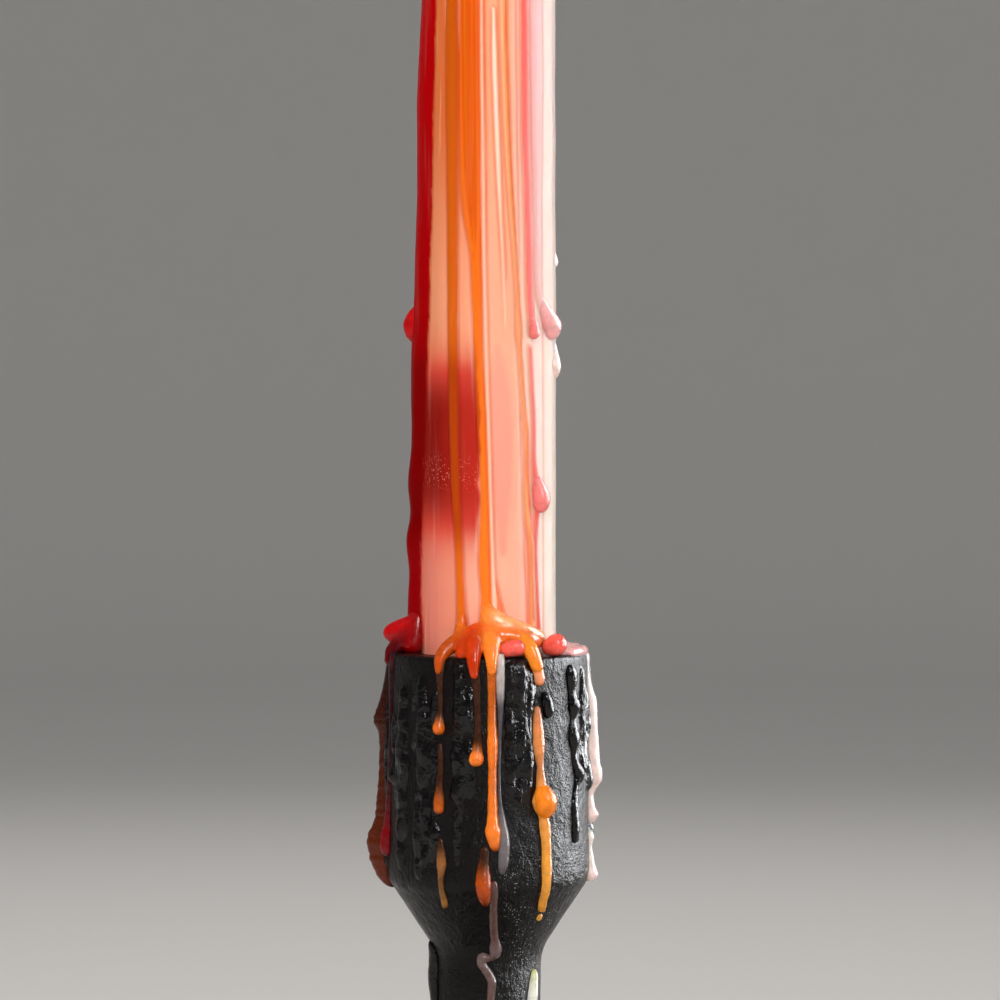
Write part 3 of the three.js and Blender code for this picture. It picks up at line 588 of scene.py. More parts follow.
def smoothed(knots, step):
    """A Catmull-Rom curve through the knots, with points step apart, and closer together near its ends."""
    knots = np.array(knots, float)
    gaps = np.hypot(np.diff(knots[:, 0]) * 0.2, np.diff(knots[:, 1]))
    travel = np.concatenate([[0], np.cumsum(gaps)])
    length = travel[-1]
    fine = np.array([0, 0.02, 0.08, 0.18, 0.32, 0.5, 0.75]) * min(1.6, length / 3)
    middle = np.arange(fine[-1] + step, length - fine[-1] - step / 2, step)
    s = np.concatenate([fine, middle, length - fine[::-1]])
    i = np.clip(np.searchsorted(travel, s, side="right") - 1, 0, len(knots) - 2)
    t = ((s - travel[i]) / gaps[i])[:, None]
    padded = np.vstack([knots[0], knots, knots[-1]])
    p0, p1, p2, p3 = (padded[i + k] for k in range(4))
    rise = (travel[i + 1] - travel[i])[:, None]
    before = np.where(i > 0, travel[i + 1] - travel[np.maximum(i - 1, 0)], gaps[0])[:, None]
    beyond = travel[np.minimum(i + 2, len(knots) - 1)] - travel[i]
    after = np.where(i < len(knots) - 2, beyond, gaps[-1])[:, None]
    m1, m2 = (p2 - p0) / before * rise, (p3 - p1) / after * rise
    curve = ((2 * t**3 - 3 * t**2 + 1) * p1 + (t**3 - 2 * t**2 + t) * m1
             + (3 * t**2 - 2 * t**3) * p2 + (t**3 - t**2) * m2)
    return s, length, curve


EDGE_SOFTNESS = 0.3
FILM_DEPTH = 0.5
DROP_DEPTH = 1.15


def flow_lines(name, flows, bed, axis=0.0, step=0.35, round_ends=False, soft_edges=None, film=None,
               apart=True):
    """Puts each flow's line on its bed, as a wire mesh whose points carry its width, thickness and colour.

    Where a film colour is given, the thin stretches of a run take it, and only its drops keep their own dye.
    A soft edge is a width in millimetres. Lines that aren't kept apart form one flow, quicker to lay.
    """
    points, edges = [], []
    fields = {"half_width": [], "thickness": [], "flow": [], "softness": [], "wax_colour": []}
    for number, (top_colour, bottom_colour, knots) in enumerate(flows):
        s, length, curve = smoothed(knots, step)
        turn, height, half_width, thickness = curve.T
        if round_ends:
            reach = np.minimum(half_width, length / 2.2)
            shut = np.clip(np.minimum(s, length - s) / reach, 0, 1)
            shape = np.sqrt(1 - (1 - shut) ** 2)
            half_width, thickness = half_width * shape, thickness * shape
        z = rim_z + height
        radius = bed(z)
        angle = np.radians(turn)
        first = len(points)
        points += list(zip((axis + radius * np.sin(angle)) * MM, -radius * np.cos(angle) * MM, z * MM))
        edges += [(i, i + 1) for i in range(first, len(points) - 1)]
        share = (s / length)[:, None]
        colours = (1 - share) * np.array(top_colour) + share * np.array(bottom_colour)
        if film:
            body = np.clip((thickness[:, None] - FILM_DEPTH) / (DROP_DEPTH - FILM_DEPTH), 0, 1)
            colours = (1 - body) * np.array(film) + body * colours
        soft = soft_edges[number] if soft_edges else EDGE_SOFTNESS
        fields["half_width"] += list(np.maximum(half_width, 0) * MM)
        fields["thickness"] += list(np.maximum(thickness, 0) * MM)
        fields["flow"] += [number if apart else 0] * len(s)
        fields["softness"] += list(np.clip(soft / np.maximum(half_width, 0.05), 0.05, 0.9))
        fields["wax_colour"] += list(colours[:, :3])
    return wire_object(name, points, edges, **fields)


def candle_bed(z):
    return np.interp(z, [rim_z, candle_top - 1], [candle_foot_radius, CANDLE_TOP_RADIUS])


def blurred(value, iterations, kind="FLOAT", weight=1.0):
    sockets = {"Value": value, "Iterations": iterations, "Weight": weight}
    return joined("GeometryNodeBlurAttribute", sockets, "Value", data_type=kind)


def nearest_on(lines):
    """Looks up the named values that the nearest point of a wire mesh carries."""
    index = joined("GeometryNodeSampleNearest", {"Geometry": lines}, domain="POINT")
    return lambda name, kind="FLOAT": sample(lines, read(lines.tree, name, kind), index, kind)


WOBBLE_SIZE = 2.2
CREASE_WIDTH = 0.4


def candle_tree():
    """A turned candle, and over it every flow, as wide and thick as the nearest point of its line says."""
    tree, given, out = geometry_tree("candle_with_flows", {
        "Outline": "Object", "Sides": "Int", "Axis": "Float", "Flows": "Object", "Flow Count": "Int",
        "Wave Size": "Float", "Wave Height": "Float", "Edge Wobble": "Float", "Softening": "Int",
        "Seed": "Float", "Material": "Material",
    })
    skin = placed(turned(given), offset=joined("ShaderNodeCombineXYZ", {"X": given["Axis"]}))
    for name in ("wax_height", "flow_cover", "crease"):
        skin = store(skin, name, 0.0)
    skin = store(skin, "dye_weight", 1e-6)
    skin = store(skin, "wax_colour", (0.0, 0.0, 0.0), "FLOAT_VECTOR")
    start = tree.nodes.new("GeometryNodeRepeatInput")
    end = tree.nodes.new("GeometryNodeRepeatOutput")
    start.pair_with_output(end)
    feed(start, {"Iterations": given["Flow Count"], "Geometry": skin})

    sockets = {"A": read(tree, "flow", "INT"), "B": Field(start.outputs["Iteration"])}
    matches = joined("FunctionNodeCompare", sockets, "Result", data_type="INT", operation="EQUAL")
    sockets = {"Geometry": object_geometry(given["Flows"]), "Selection": matches}
    one_flow = joined("GeometryNodeSeparateGeometry", sockets, "Selection", domain="POINT")
    distance = joined("GeometryNodeProximity", [one_flow], "Distance", target_element="EDGES")
    nearest = nearest_on(one_flow)
    half_width = nearest("half_width")
    thickness = nearest("thickness")
    wobble = noise(position(tree), WOBBLE_SIZE * MM, 2.0, given["Seed"]) * given["Edge Wobble"]
    across = maths("MAXIMUM", wobble + distance / half_width, 0.0)
    dome = maths("POWER", maths("MAXIMUM", 1.0 - maths("POWER", across, 3.0), 0.0), 1.3)
    cover = remap(across, 1.0, 1.0 - nearest("softness"))
    # The dye also reaches a little past the run's edge, so that no face there blends towards no colour.
    weight = maths("LESS_THAN", across, 2.5) * 0.01 + cover
    total = weight + read(tree, "dye_weight") * (1.0 - cover)
    mixed = joined("ShaderNodeMix", {
        "Factor": weight / total, "A": read(tree, "wax_colour", "FLOAT_VECTOR"),
        "B": nearest("wax_colour", "FLOAT_VECTOR"),
    }, "Result", data_type="VECTOR")
    thick_enough = remap(thickness, 0.15 * MM, 0.4 * MM)
    # Each run's edge is marked as a crease, where the wax material paints shade.
    edge = remap(maths("ABSOLUTE", distance - half_width), CREASE_WIDTH * MM, 0.08 * MM) * thick_enough
    crease = maths("MAXIMUM", edge, read(tree, "crease") * (1.0 - cover))
    old_cover = read(tree, "flow_cover") * (1.0 - cover)
    coated = store(Field(start.outputs["Geometry"]), "crease", crease)
    coated = store(coated, "wax_height", maths("MAXIMUM", read(tree, "wax_height"), dome * thickness))
    coated = store(coated, "wax_colour", mixed, "FLOAT_VECTOR")
    # Stored last, because the fields above are worked out from its value before.
    coated = store(coated, "flow_cover", cover + old_cover)
    feed(end, {"Geometry": store(coated, "dye_weight", total)})

    waves = noise(position(tree), given["Wave Size"], 1.0, given["Seed"]) * given["Wave Height"]
    lift = waves + blurred(read(tree, "wax_height"), given["Softening"], weight=0.6)
    finished(along_normal(Field(end.outputs["Geometry"]), lift), given["Material"], out)
    return tree


def ramp(value, stops):
    """Colours along a value, each one eased into the next."""
    node = value.tree.nodes.new("ShaderNodeValToRGB")
    feed(node, {0: value})
    node.color_ramp.interpolation = "EASE"
    elements = node.color_ramp.elements
    while len(elements) < len(stops):
        elements.new(0.5)
    for element, (place, colour) in zip(elements, stops):
        element.position = place
        element.color = colour
    return Field(node.outputs["Color"])


def attribute(tree, name, out):
    return put(tree, "ShaderNodeAttribute", out=out, attribute_name=name)


def tinted(share, colour, tint):
    """Multiplies a colour by a tint, in part."""
    return blend(share, colour, blend(1.0, colour, tint, "MULTIPLY"))


def candle_wax_material():
    """Dyed paraffin: orange fields high up, rose and cream low down, darker on the left side as painted
    shade, a dark red cloud, and each run's dye.
    """
    material, surface, here = new_material("candle_wax")
    x, y, z = parts(here)
    around = maths("ARCTAN2", x - candle_axis * MM, y * -1.0) * (0.5 / math.pi) + 0.5
    around = (grain(here, 0.006) - 0.5) * 0.03 + around

    def at(degrees):
        return 0.5 + degrees / 360

    def above(low, high):
        """Grows from 0 to 1 between two heights above the rim."""
        return remap(z, (rim_z + low) * MM, (rim_z + high) * MM)

    def round_field(stops):
        return ramp(around, [(at(degrees), paint(*colour)) for degrees, colour in stops.items()])

    # Each band's colours round the candle also hold painted shade: darker and redder towards the left side,
    # from about -110 to -30 degrees, where less light falls, and palest on the right, where the light falls.
    low_field = round_field({
        -179: (248, 200, 182), -110: (222, 126, 106), -58: (222, 126, 108), -30: (230, 142, 116),
        -14: (243, 172, 146), 8: (250, 188, 168), 36: (248, 168, 140), 52: (244, 216, 202),
        120: (244, 228, 212), 179: (248, 200, 182),
    })
    middle_field = round_field({
        -179: (250, 196, 170), -110: (222, 136, 98), -58: (224, 142, 104), -24: (240, 162, 126),
        0: (250, 184, 158), 12: (248, 168, 132), 22: (248, 190, 160), 32: (250, 206, 184),
        50: (246, 216, 204), 120: (246, 226, 212), 179: (250, 196, 170),
    })
    high_field = round_field({
        -179: (248, 186, 156), -110: (196, 96, 56), -58: (208, 112, 66), -30: (214, 98, 30),
        -6: (240, 132, 84), 8: (246, 160, 122), 20: (248, 190, 164), 38: (246, 184, 176),
        56: (244, 210, 204), 120: (246, 208, 194), 179: (248, 186, 156),
    })
    field = blend(above(58, 92), blend(above(14, 50), low_field, middle_field), high_field)
    # The dark red cloud: flat across its middle, and gone a finger's width above and below.
    rise = (z - (rim_z + 34) * MM) / (16 * MM)
    fall = maths("POWER", maths("ABSOLUTE", rise), 3.0) * -1.3
    cloud_side = remap(around, at(-4), at(-11)) * remap(around, at(-150), at(-110))
    cloud = maths("POWER", 2.718, fall) * cloud_side
    field = blend(remap(cloud, 0.0, 0.6), field, paint(212, 74, 58))
    core = blend(remap(around, at(-50), at(-14)), paint(136, 20, 12), paint(184, 44, 30))
    field = blend(remap(cloud, 0.35, 1.0), field, core)
    # Small pale specks, painted lighter, in the red cloud's band.
    distance, chance = cells(here, 0.00036)
    pale_specks = remap(distance, 0.4, 0.15) * maths("GREATER_THAN", chance, 0.5)
    pale_specks = pale_specks * (above(26.5, 29) * above(34, 31)) * cloud_side
    field = blend(pale_specks * 0.7, field, paint(232, 138, 116))
    # The runs stop at the lip. Inside it the colours melted together in the crater.
    from_axis = vectors("LENGTH", vectors("MULTIPLY", here, (1.0, 1.0, 0.0)))
    outside = remap(from_axis, 8.8 * MM, 9.8 * MM)
    molten = blend(remap(grain(here, 0.005), 0.3, 0.7), paint(226, 132, 88), paint(244, 172, 134))
    field = blend(remap(from_axis, 6 * MM, 9.6 * MM), molten, field)
    # Over the red cloud the thin runs let some of its dark red through.
    cover = attribute(here.tree, "flow_cover", "Fac")
    own_dye = attribute(here.tree, "wax_colour", "Color")
    run_colour = tinted(remap(cloud, 0.0, 0.6), own_dye, paint(210, 169, 149))
    colour = blend(cover * outside, field, run_colour)
    # Painted shade: the colour is darkened along the runs' edges, in the creases where they meet the candle.
    crease = attribute(here.tree, "crease", "Fac")
    colour = tinted(crease * (outside * 0.55), colour, paint(232, 168, 140))
    streak = grain(stretched(here, (1, 1, 0.05)), 0.0013, 3.0)
    bare = (1.0 - cover * 0.9) * (1.0 - cloud * 0.85)
    colour = blend(remap(streak, 0.56, 0.72, 0.0, 0.2) * bare, colour, paint(255, 222, 200))
    colour = tinted(remap(streak, 0.44, 0.3, 0.0, 0.22), colour, paint(244, 214, 200))
    feed(surface, {
        "Base Color": colour,
        "Roughness": remap(grain(here, 0.003, 3.0), 0.3, 0.7, 0.34, 0.48),
        "Specular IOR Level": 0.06,
        "Subsurface Weight": 0.6,
        "Subsurface Radius": (1.0, 0.42, 0.25),
        "Subsurface Scale": 0.0009,
        "IOR": 1.44,
        "Normal": bump(streak + grain(here, 0.0008) * 0.12, 0.00012, 0.9),
    })
    return material


skin_foot = rim_z - 1.5
crater_floor = candle_top - CRATER_DEPTH
candle_outline = outline_object("candle_outline", drawn(
    (0, skin_foot),
    [(candle_foot_radius, skin_foot), 4],
    [(CANDLE_TOP_RADIUS, candle_top - 1), 0.5],
    [(CANDLE_TOP_RADIUS - 0.05, candle_top - 0.3), (CANDLE_TOP_RADIUS - 0.5, candle_top),
     (CANDLE_TOP_RADIUS - 1, candle_top - 0.15), 0.3],
    [(CANDLE_TOP_RADIUS - 2.6, candle_top - 1.4), (5.4, crater_floor), (2.6, crater_floor - 0.1), 0.35],
    [(1.8, crater_floor), (1.4, crater_floor + 0.7), (WICK_BORE, crater_floor + 0.9), 0.3],
    [(0, crater_floor + 0.9), 0.6]))
sheet_edges = {"apricot_sheet": 1.6, "salmon_sheet": 1.5, "cream_run": 0.8, "pale_pink_run": 0.5}
candle_flow_lines = flow_lines(
    "candle_flow_lines", list(candle_flows.values()), candle_bed, candle_axis,
    soft_edges=[sheet_edges.get(name, EDGE_SOFTNESS) for name in candle_flows])
wax_skin = candle_tree()
candle = baked("candle", wax_skin, {
    "Outline": candle_outline, "Sides": CANDLE_SIDES, "Axis": candle_axis * MM, "Flows": candle_flow_lines,
    "Flow Count": len(candle_flows), "Wave Size": 9 * MM, "Wave Height": 0.25 * MM, "Edge Wobble": 0.16,
    "Softening": 2, "Seed": 5.0, "Material": candle_wax_material(),
})
fitted(candle, "candle", "candle_body", *[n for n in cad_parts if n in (
    "red_run", "amber_run", "orange_run", "coral_run", "orange_thread", "pink_run", "pink_run_lower",
    "pale_pink_run", "cream_run", "amber_run_back", "pink_run_back", "cream_run_back", "orange_run_back",
    "coral_run_back")])

# ---------------------------------------------------------------- the wick
# Three cotton strands laid round each other. It burned to a black, brittle crook above the wax, and below
# the flame it is soaked in wax and still pale.

wick_path = [(0, crater_floor - 2), (0, crater_floor + 2), (0.1, candle_top - 1), (0.5, candle_top + 4),
             (1.5, candle_top + 8), (3.6, candle_top + 11.6)]


def wick_guide():
    path = np.array(wick_path)
    _, _, curve = smoothed(np.hstack([path, path * 0 + 1]), 0.4)
    points = [((candle_axis + x) * MM, -0.25 * x * MM, z * MM) for x, z in curve[:, :2]]
    return wire_object("wick_guide", points)


def wick_tree():
    """Strands wound round a guide: each is a thin curve that turns about it, swept with a round section."""
    tree, given, out = geometry_tree("braided_wick", {
        "Guide": "Object", "Strands": "Int", "Twist": "Float", "Lay Radius": "Float",
        "Strand Radius": "Float", "Fray": "Float", "Seed": "Float", "Material": "Material",
    })
    curve = joined("GeometryNodeMeshToCurve", {"Mesh": object_geometry(given["Guide"])})
    curve = joined("GeometryNodeResampleCurve", {"Curve": curve, "Length": 0.16 * MM}, mode="LENGTH")
    copies, number = joined("GeometryNodeDuplicateElements", {"Geometry": curve, "Amount": given["Strands"]},
                            ("Geometry", "Duplicate Index"), domain="SPLINE")
    length = put(tree, "GeometryNodeSplineParameter", out="Length")
    angle = (number / given["Strands"] + length * given["Twist"]) * (2 * math.pi)
    tangent = put(tree, "GeometryNodeInputTangent")
    side = vectors("NORMALIZE", vectors("CROSS_PRODUCT", tangent, (0.0, 1.0, 0.0)))
    front = vectors("CROSS_PRODUCT", tangent, side)
    reach = given["Lay Radius"] + noise(position(tree), 1.2 * MM, 2.0, given["Seed"]) * given["Fray"]
    offset = vectors("ADD", vectors("SCALE", side, maths("COSINE", angle) * reach),
                     vectors("SCALE", front, maths("SINE", angle) * reach))
    section = joined("GeometryNodeCurvePrimitiveCircle", {"Resolution": 10, "Radius": given["Strand Radius"]})
    swept = joined("GeometryNodeCurveToMesh", {
        "Curve": placed(copies, offset=offset), "Profile Curve": section, "Fill Caps": True,
    })
    finished(swept, given["Material"], out)
    return tree


def wick_material():
    """Waxy cotton at the foot, then a scorched band, then matt char with grey ash on its ridges."""
    material, surface, here = new_material("burnt_wick")
    _, _, height = parts(here)
    fibres = grain(here, 0.0006, 4.0)
    rise = (fibres - 0.5) * 0.002 + height
    burnt = remap(rise, (candle_top - 4.6) * MM, (candle_top + 2) * MM, smooth=False)
    colour = ramp(burnt, [(0.0, paint(214, 150, 110)), (0.3, paint(92, 52, 34)), (0.5, paint(20, 16, 14)),
                          (1.0, paint(14, 13, 13))])
    ash = remap(grain(here, 0.00035, 3.0), 0.58, 0.7) * remap(burnt, 0.6, 0.9)
    feed(surface, {
        "Base Color": blend(ash, colour, paint(96, 92, 88)),
        "Roughness": 0.9,
        "Normal": bump(fibres, 0.0001),
    })
    return material


wick = baked("wick_braid", wick_tree(), {
    "Guide": wick_guide(), "Strands": 3, "Twist": 1 / (3.4 * MM), "Lay Radius": 0.48 * MM,
    "Strand Radius": 0.55 * MM, "Fray": 0.25 * MM, "Seed": 2.0, "Material": wick_material(),
})
fitted(wick, "wick", "wick")

# ---------------------------------------------------------------- wax that ran down the cup and the stem
# Thin trickles that overflowed the rim, froze on the cold iron and ended in drops. Later ones stopped and
# started again, so each is its own piece: [turn, height above the rim, half width, thickness] from the top.

CHERRY = paint(112, 0, 8)
CARAMEL = paint(104, 48, 12)
EMBER = paint(132, 46, 8)
BROWN_FILM = paint(58, 28, 12)
WINE_FILM = paint(38, 3, 10)
TAWNY = paint(196, 122, 78)
YOLK = paint(246, 176, 74)
MAUVE = paint(94, 66, 60)
PEWTER = paint(128, 118, 120)
MILK = paint(226, 226, 214)
BONE = paint(240, 226, 220)

# Each run: its material slot, the colour of its film, of its upper and lower wax, and its knots.
cup_flows = {
    # This run, on the left side, is painted nearly black: partly the black iron seen through its thin wax,
    # and partly painted shade, since little light falls there.
    "amber_run_side": ("amber", paint(30, 14, 8), paint(26, 9, 4), paint(96, 32, 5), [
        [-94, -0.2, 1.3, 0.5], [-94, -3, 1.3, 0.7], [-94, -7.6, 1.3, 1.5], [-94, -10, 1.5, 2.3],
        [-94, -11.8, 1.6, 2.7], [-94, -13.8, 1.4, 1.8], [-94, -20, 1.4, 1.7], [-94, -25, 1.5, 2],
        [-94, -28, 1.6, 2.3], [-94, -31, 2, 3.4], [-94, -33.4, 2, 3.3], [-94, -35.6, 1.8, 2.7],
        [-94, -37.8, 1.5, 1.6], [-94, -39.4, 1.2, 0.9]]),
    "red_run_cup": ("red", WINE_FILM, RED, CHERRY, [
        [-76, 0.4, 1.5, 0.6], [-77, -3, 1.2, 0.5], [-76, -8, 0.8, 0.45], [-75, -12, 0.7, 0.45],
        [-76, -18, 0.7, 0.5], [-78, -23, 0.9, 0.6], [-80, -28, 1.1, 0.9], [-81, -31.4, 1.35, 1.4],
        [-81, -34, 1.2, 1.2]]),
    "amber_run_cup": ("amber", BROWN_FILM, TAWNY, AMBER, [
        [-30, 0.6, 1.2, 0.9], [-29, -2, 0.85, 0.55], [-28.8, -4.6, 0.6, 0.42], [-28.4, -7.2, 0.5, 0.4],
        [-28.8, -9.4, 0.6, 0.5], [-29.2, -11.6, 1.05, 1.25], [-29.2, -12.8, 0.95, 1.15]]),
    "amber_run_cup_lower": ("amber", BROWN_FILM, CARAMEL, AMBER, [
        [-28.6, -14, 0.4, 0.3], [-28, -16, 0.5, 0.4], [-28, -19, 0.55, 0.42], [-28.6, -21.4, 0.7, 0.6],
        [-28.8, -24, 0.95, 1], [-28.8, -25.8, 0.9, 0.95]]),
    "amber_trickle": ("amber", BROWN_FILM, TAWNY, YOLK, [
        [-27.8, -29.6, 0.4, 0.35], [-27.4, -32, 0.8, 0.6], [-27, -34, 0.85, 0.75],
        [-27.4, -36.4, 0.5, 0.6], [-27.6, -38.6, 0.5, 0.65], [-28.4, -40.4, 0.55, 0.7],
        [-29, -41.4, 0.4, 0.5]]),
    "brown_run_cup": ("mauve", BROWN_FILM, CARAMEL, ORANGE, [
        [-9, 0.8, 1.6, 0.8], [-8.2, -1.6, 1, 0.45], [-7, -4, 0.75, 0.4], [-6.4, -8, 0.6, 0.38],
        [-6, -12, 0.6, 0.4], [-6.4, -14.6, 0.85, 0.7], [-7, -16.4, 1.3, 1.45], [-7, -17.8, 1.15, 1.25]]),
    "orange_run_cup": ("orange", paint(166, 78, 18), ORANGE, ORANGE, [
        [1.6, 1.8, 1.2, 1], [1.8, -2, 0.8, 0.7], [2, -6.6, 0.7, 0.65], [2, -10, 0.7, 0.75],
        [2.4, -14, 0.9, 1.1], [2.4, -18, 0.75, 0.9], [2.4, -22, 0.75, 0.95], [2.6, -26.2, 0.95, 1.15],
        [2.9, -28.4, 1.35, 1.5], [3.6, -30.2, 1, 1.1], [4.2, -31.6, 0.6, 0.5]]),
    "grey_run_cup": ("mauve", paint(84, 78, 82), BONE, paint(112, 104, 108), [
        [6.4, 1, 0.8, 0.9], [6.8, -5, 0.75, 0.8], [6.8, -9, 0.45, 0.4], [6.2, -16, 0.3, 0.3],
        [6.4, -23, 0.35, 0.35], [7.6, -26.6, 0.7, 0.7], [8.8, -29.4, 0.95, 0.85], [8.8, -33, 0.9, 0.8],
        [7.4, -35.4, 0.5, 0.5]]),
    "orange_drop_cup": ("orange", BROWN_FILM, HOT_ORANGE, EMBER, [
        [-1.6, -30.8, 0.7, 0.45], [-2.4, -33.6, 0.9, 0.55], [-2.6, -35.6, 1.15, 0.9],
        [-2.4, -37.6, 1.35, 1.4], [-1.8, -39.4, 1.05, 1.1], [-1.2, -40.9, 0.5, 0.5]]),
    "mauve_run_stem": ("mauve", MAUVE, MAUVE, PEWTER, [
        [3.4, -36.4, 0.5, 0.5], [3.2, -38.4, 0.8, 0.6], [3.6, -41.4, 0.65, 0.55], [4.2, -44, 0.7, 0.55],
        [5.8, -46.6, 0.7, 0.6], [7.2, -48, 1, 1], [7.2, -49.2, 1, 1.05], [2, -50, 0.6, 0.7],
        [-5, -50, 0.95, 1], [-6.4, -51, 0.8, 0.9], [0, -52.6, 0.75, 0.7], [4.4, -54, 0.75, 0.75],
        [3.4, -56.4, 0.65, 0.6], [3, -60, 0.7, 0.6], [3, -63.6, 0.95, 1.1], [3, -65, 0.8, 0.9]]),
    "orange_drip_rim": ("orange", ORANGE, ORANGE, APRICOT, [
        [25.4, 1.6, 1.3, 1], [27, -0.4, 1.1, 1.1], [28.8, -2, 1, 1.1], [30, -3.4, 1, 1.15],
        [30.6, -4.6, 0.8, 0.9]]),
    "orange_run_front": ("orange", TAWNY, paint(226, 140, 84), paint(236, 164, 56), [
        [28.8, -7.9, 0.5, 0.4], [29, -10.4, 0.85, 0.8], [29.2, -13, 1.15, 1.1], [29.4, -15.4, 1.1, 1],
        [30.6, -17.6, 0.6, 0.6], [30.8, -19.4, 0.8, 0.9], [31.2, -21.2, 1, 1.2], [32, -23, 1.9, 1.9],
        [32.4, -24.4, 1.85, 1.9], [32.6, -26, 0.95, 1.1], [33.6, -28, 1, 1.1], [34.4, -31, 0.85, 1.1],
        [34.6, -34, 0.95, 1.15], [34.6, -37.4, 0.75, 1.1], [36, -40, 0.7, 1.1], [38.6, -42, 0.6, 0.9]]),
    "yellow_crumb": ("amber", YOLK, YOLK, paint(206, 206, 110), [
        [40, -42.5, 0.5, 0.5], [40, -43.7, 0.5, 0.5]]),
    "pale_pink_run_cup": ("pale_pink", BONE, BONE, SHELL, [
        [84, 0.6, 1.3, 0.4], [87, -3, 1.2, 0.4], [88, -5.4, 1.3, 0.7], [88, -8, 1.4, 1.4],
        [88, -11.8, 1.4, 1.6], [88, -15.4, 1.4, 1.8], [88, -18, 1.5, 1.9], [88, -20.4, 1.7, 2.4],
        [88, -22, 1.5, 1.9], [88, -23.4, 1.1, 0.9], [88, -25.6, 1.2, 1.1], [88, -27.2, 1.4, 1.7],
        [88, -28.6, 1, 1]]),
    "pale_pink_drop_cup": ("pale_pink", BONE, BONE, SHELL, [
        [88, -29.6, 0.7, 0.6], [88, -31, 0.9, 0.9], [88, -32.2, 0.6, 0.5], [88, -33.6, 0.8, 0.7],
        [88, -35.4, 1, 1], [88, -37, 1.5, 1.7], [88, -38.2, 1.4, 1.6]]),
    "white_run_stem": ("cream", paint(196, 200, 120), MILK, MILK, [
        [60, -52.4, 0.5, 0.5], [58, -54, 0.8, 0.9], [55, -56.4, 0.95, 1.15], [53, -59, 1, 1.2],
        [52, -62, 1.05, 1.3], [52, -64.6, 1.1, 1.3]]),
    "pink_run_cup_back": ("pink", CORAL, PINK, CORAL, [
        [150, 0.6, 1.3, 0.7], [150, -8, 1, 0.7], [150, -18, 0.9, 0.7], [150, -25.6, 1.5, 1.7],
        [150, -28, 1.1, 1.2]]),
    "orange_run_cup_back": ("orange", BROWN_FILM, HOT_ORANGE, ORANGE, [
        [-157, 0.6, 1.4, 1], [-156, -10, 0.9, 0.7], [-156, -24, 0.85, 0.7], [-156, -34, 1, 0.9],
        [-156, -40.6, 1.5, 1.5], [-156, -43.2, 1.1, 1.1]]),
}

holder_rows = np.array([v.co for v in cup_outline.data.vertices])[:, (0, 2)] / MM
holder_rows = holder_rows[: int(np.argmax(holder_rows[:, 1]))]
holder_rows = holder_rows[holder_rows[:, 0] > STEM_RADIUS - 0.1]


def holder_bed(z):
    """The outside of the cup, taper and stem."""
    return np.interp(z, holder_rows[:, 1], holder_rows[:, 0])


SECTION_POINTS = 22
RUN_SINK = 0.35
DOME_POWER = 1.15
NARROW = 0.4


def run_tree():
    """Sweeps a domed section along each line of wax, square to its bed, sunk a little into it."""
    tree, given, out = geometry_tree("wax_run", {
        "Line": "Object", "Section Points": "Int", "Sink": "Float", "Ripple": "Float", "Ripple Size": "Float",
        "Seed": "Float", "Material": "Material",
    })
    guide = object_geometry(given["Line"])
    rows = rows_of(guide)
    tube, across, up, row = unit_tube(given["Section Points"], rows)
    last = rows - 1
    here = last - row

    def along_guide(name, index=here, kind="FLOAT"):
        return sample(guide, read(tree, name, kind), index, kind)

    def guide_place(index):
        return sample(guide, position(tree), index, "FLOAT_VECTOR")

    at = guide_place(here)
    higher = guide_place(maths("MAXIMUM", here - 2, 0))
    lower = guide_place(maths("MINIMUM", here + 2, last))
    along = vectors("NORMALIZE", vectors("SUBTRACT", higher, lower))
    outward = vectors("NORMALIZE", vectors("MULTIPLY", at, (1.0, 1.0, 0.0)))
    sideways = vectors("NORMALIZE", vectors("CROSS_PRODUCT", outward, along))
    outward = vectors("CROSS_PRODUCT", along, sideways)
    half_width = along_guide("half_width")
    swell = noise(at, given["Ripple Size"], 2.0, given["Seed"]) * given["Ripple"] + 1.0
    lift = maths("POWER", maths("MAXIMUM", up, 0.0), DOME_POWER) * along_guide("thickness")
    # The narrow ends sink less, so that they close on the bed.
    sink = maths("MINIMUM", up, 0.0) * given["Sink"]
    rise = sink * maths("MINIMUM", half_width / (NARROW * MM), 1.0) + lift * swell
    aside = vectors("SCALE", sideways, across * half_width * swell)
    moved = vectors("ADD", at, vectors("ADD", aside, vectors("SCALE", outward, rise)))
    # The dye is stored before the points move, because the row is worked out from where they are.
    tube = store(tube, "wax_colour", along_guide("wax_colour", kind="FLOAT_VECTOR"), "FLOAT_VECTOR")
    finished(welded(placed(tube, position=moved), 2e-6), given["Material"], out)
    return tree


def run_wax_material(name, scatter, roughness):
    """Frozen run wax: its own dye, a little mottled, glossy where it pooled."""
    material, surface, here = new_material(name)
    mottle = remap(grain(here, 0.0012, 3.0), 0.3, 0.7, 0.86, 1.08)
    shade = joined("ShaderNodeCombineColor", {"Red": mottle, "Green": mottle, "Blue": mottle})
    feed(surface, {
        "Base Color": blend(1.0, attribute(here.tree, "wax_colour", "Color"), shade, "MULTIPLY"),
        "Roughness": remap(grain(here, 0.0014, 3.0), 0.35, 0.65, roughness - 0.06, roughness + 0.12),
        "Subsurface Weight": 0.5,
        "Subsurface Radius": (1.0, 0.4, 0.2),
        "Subsurface Scale": scatter,
        "Specular IOR Level": 0.3,
        "IOR": 1.44,
        "Normal": bump(grain(here, 0.0004) * 0.4 + grain(here, 0.0015), 0.00008, 0.7),
    })
    return material


run_wax = run_wax_material("run_wax", scatter=0.0008, roughness=0.24)
wax_run = run_tree()


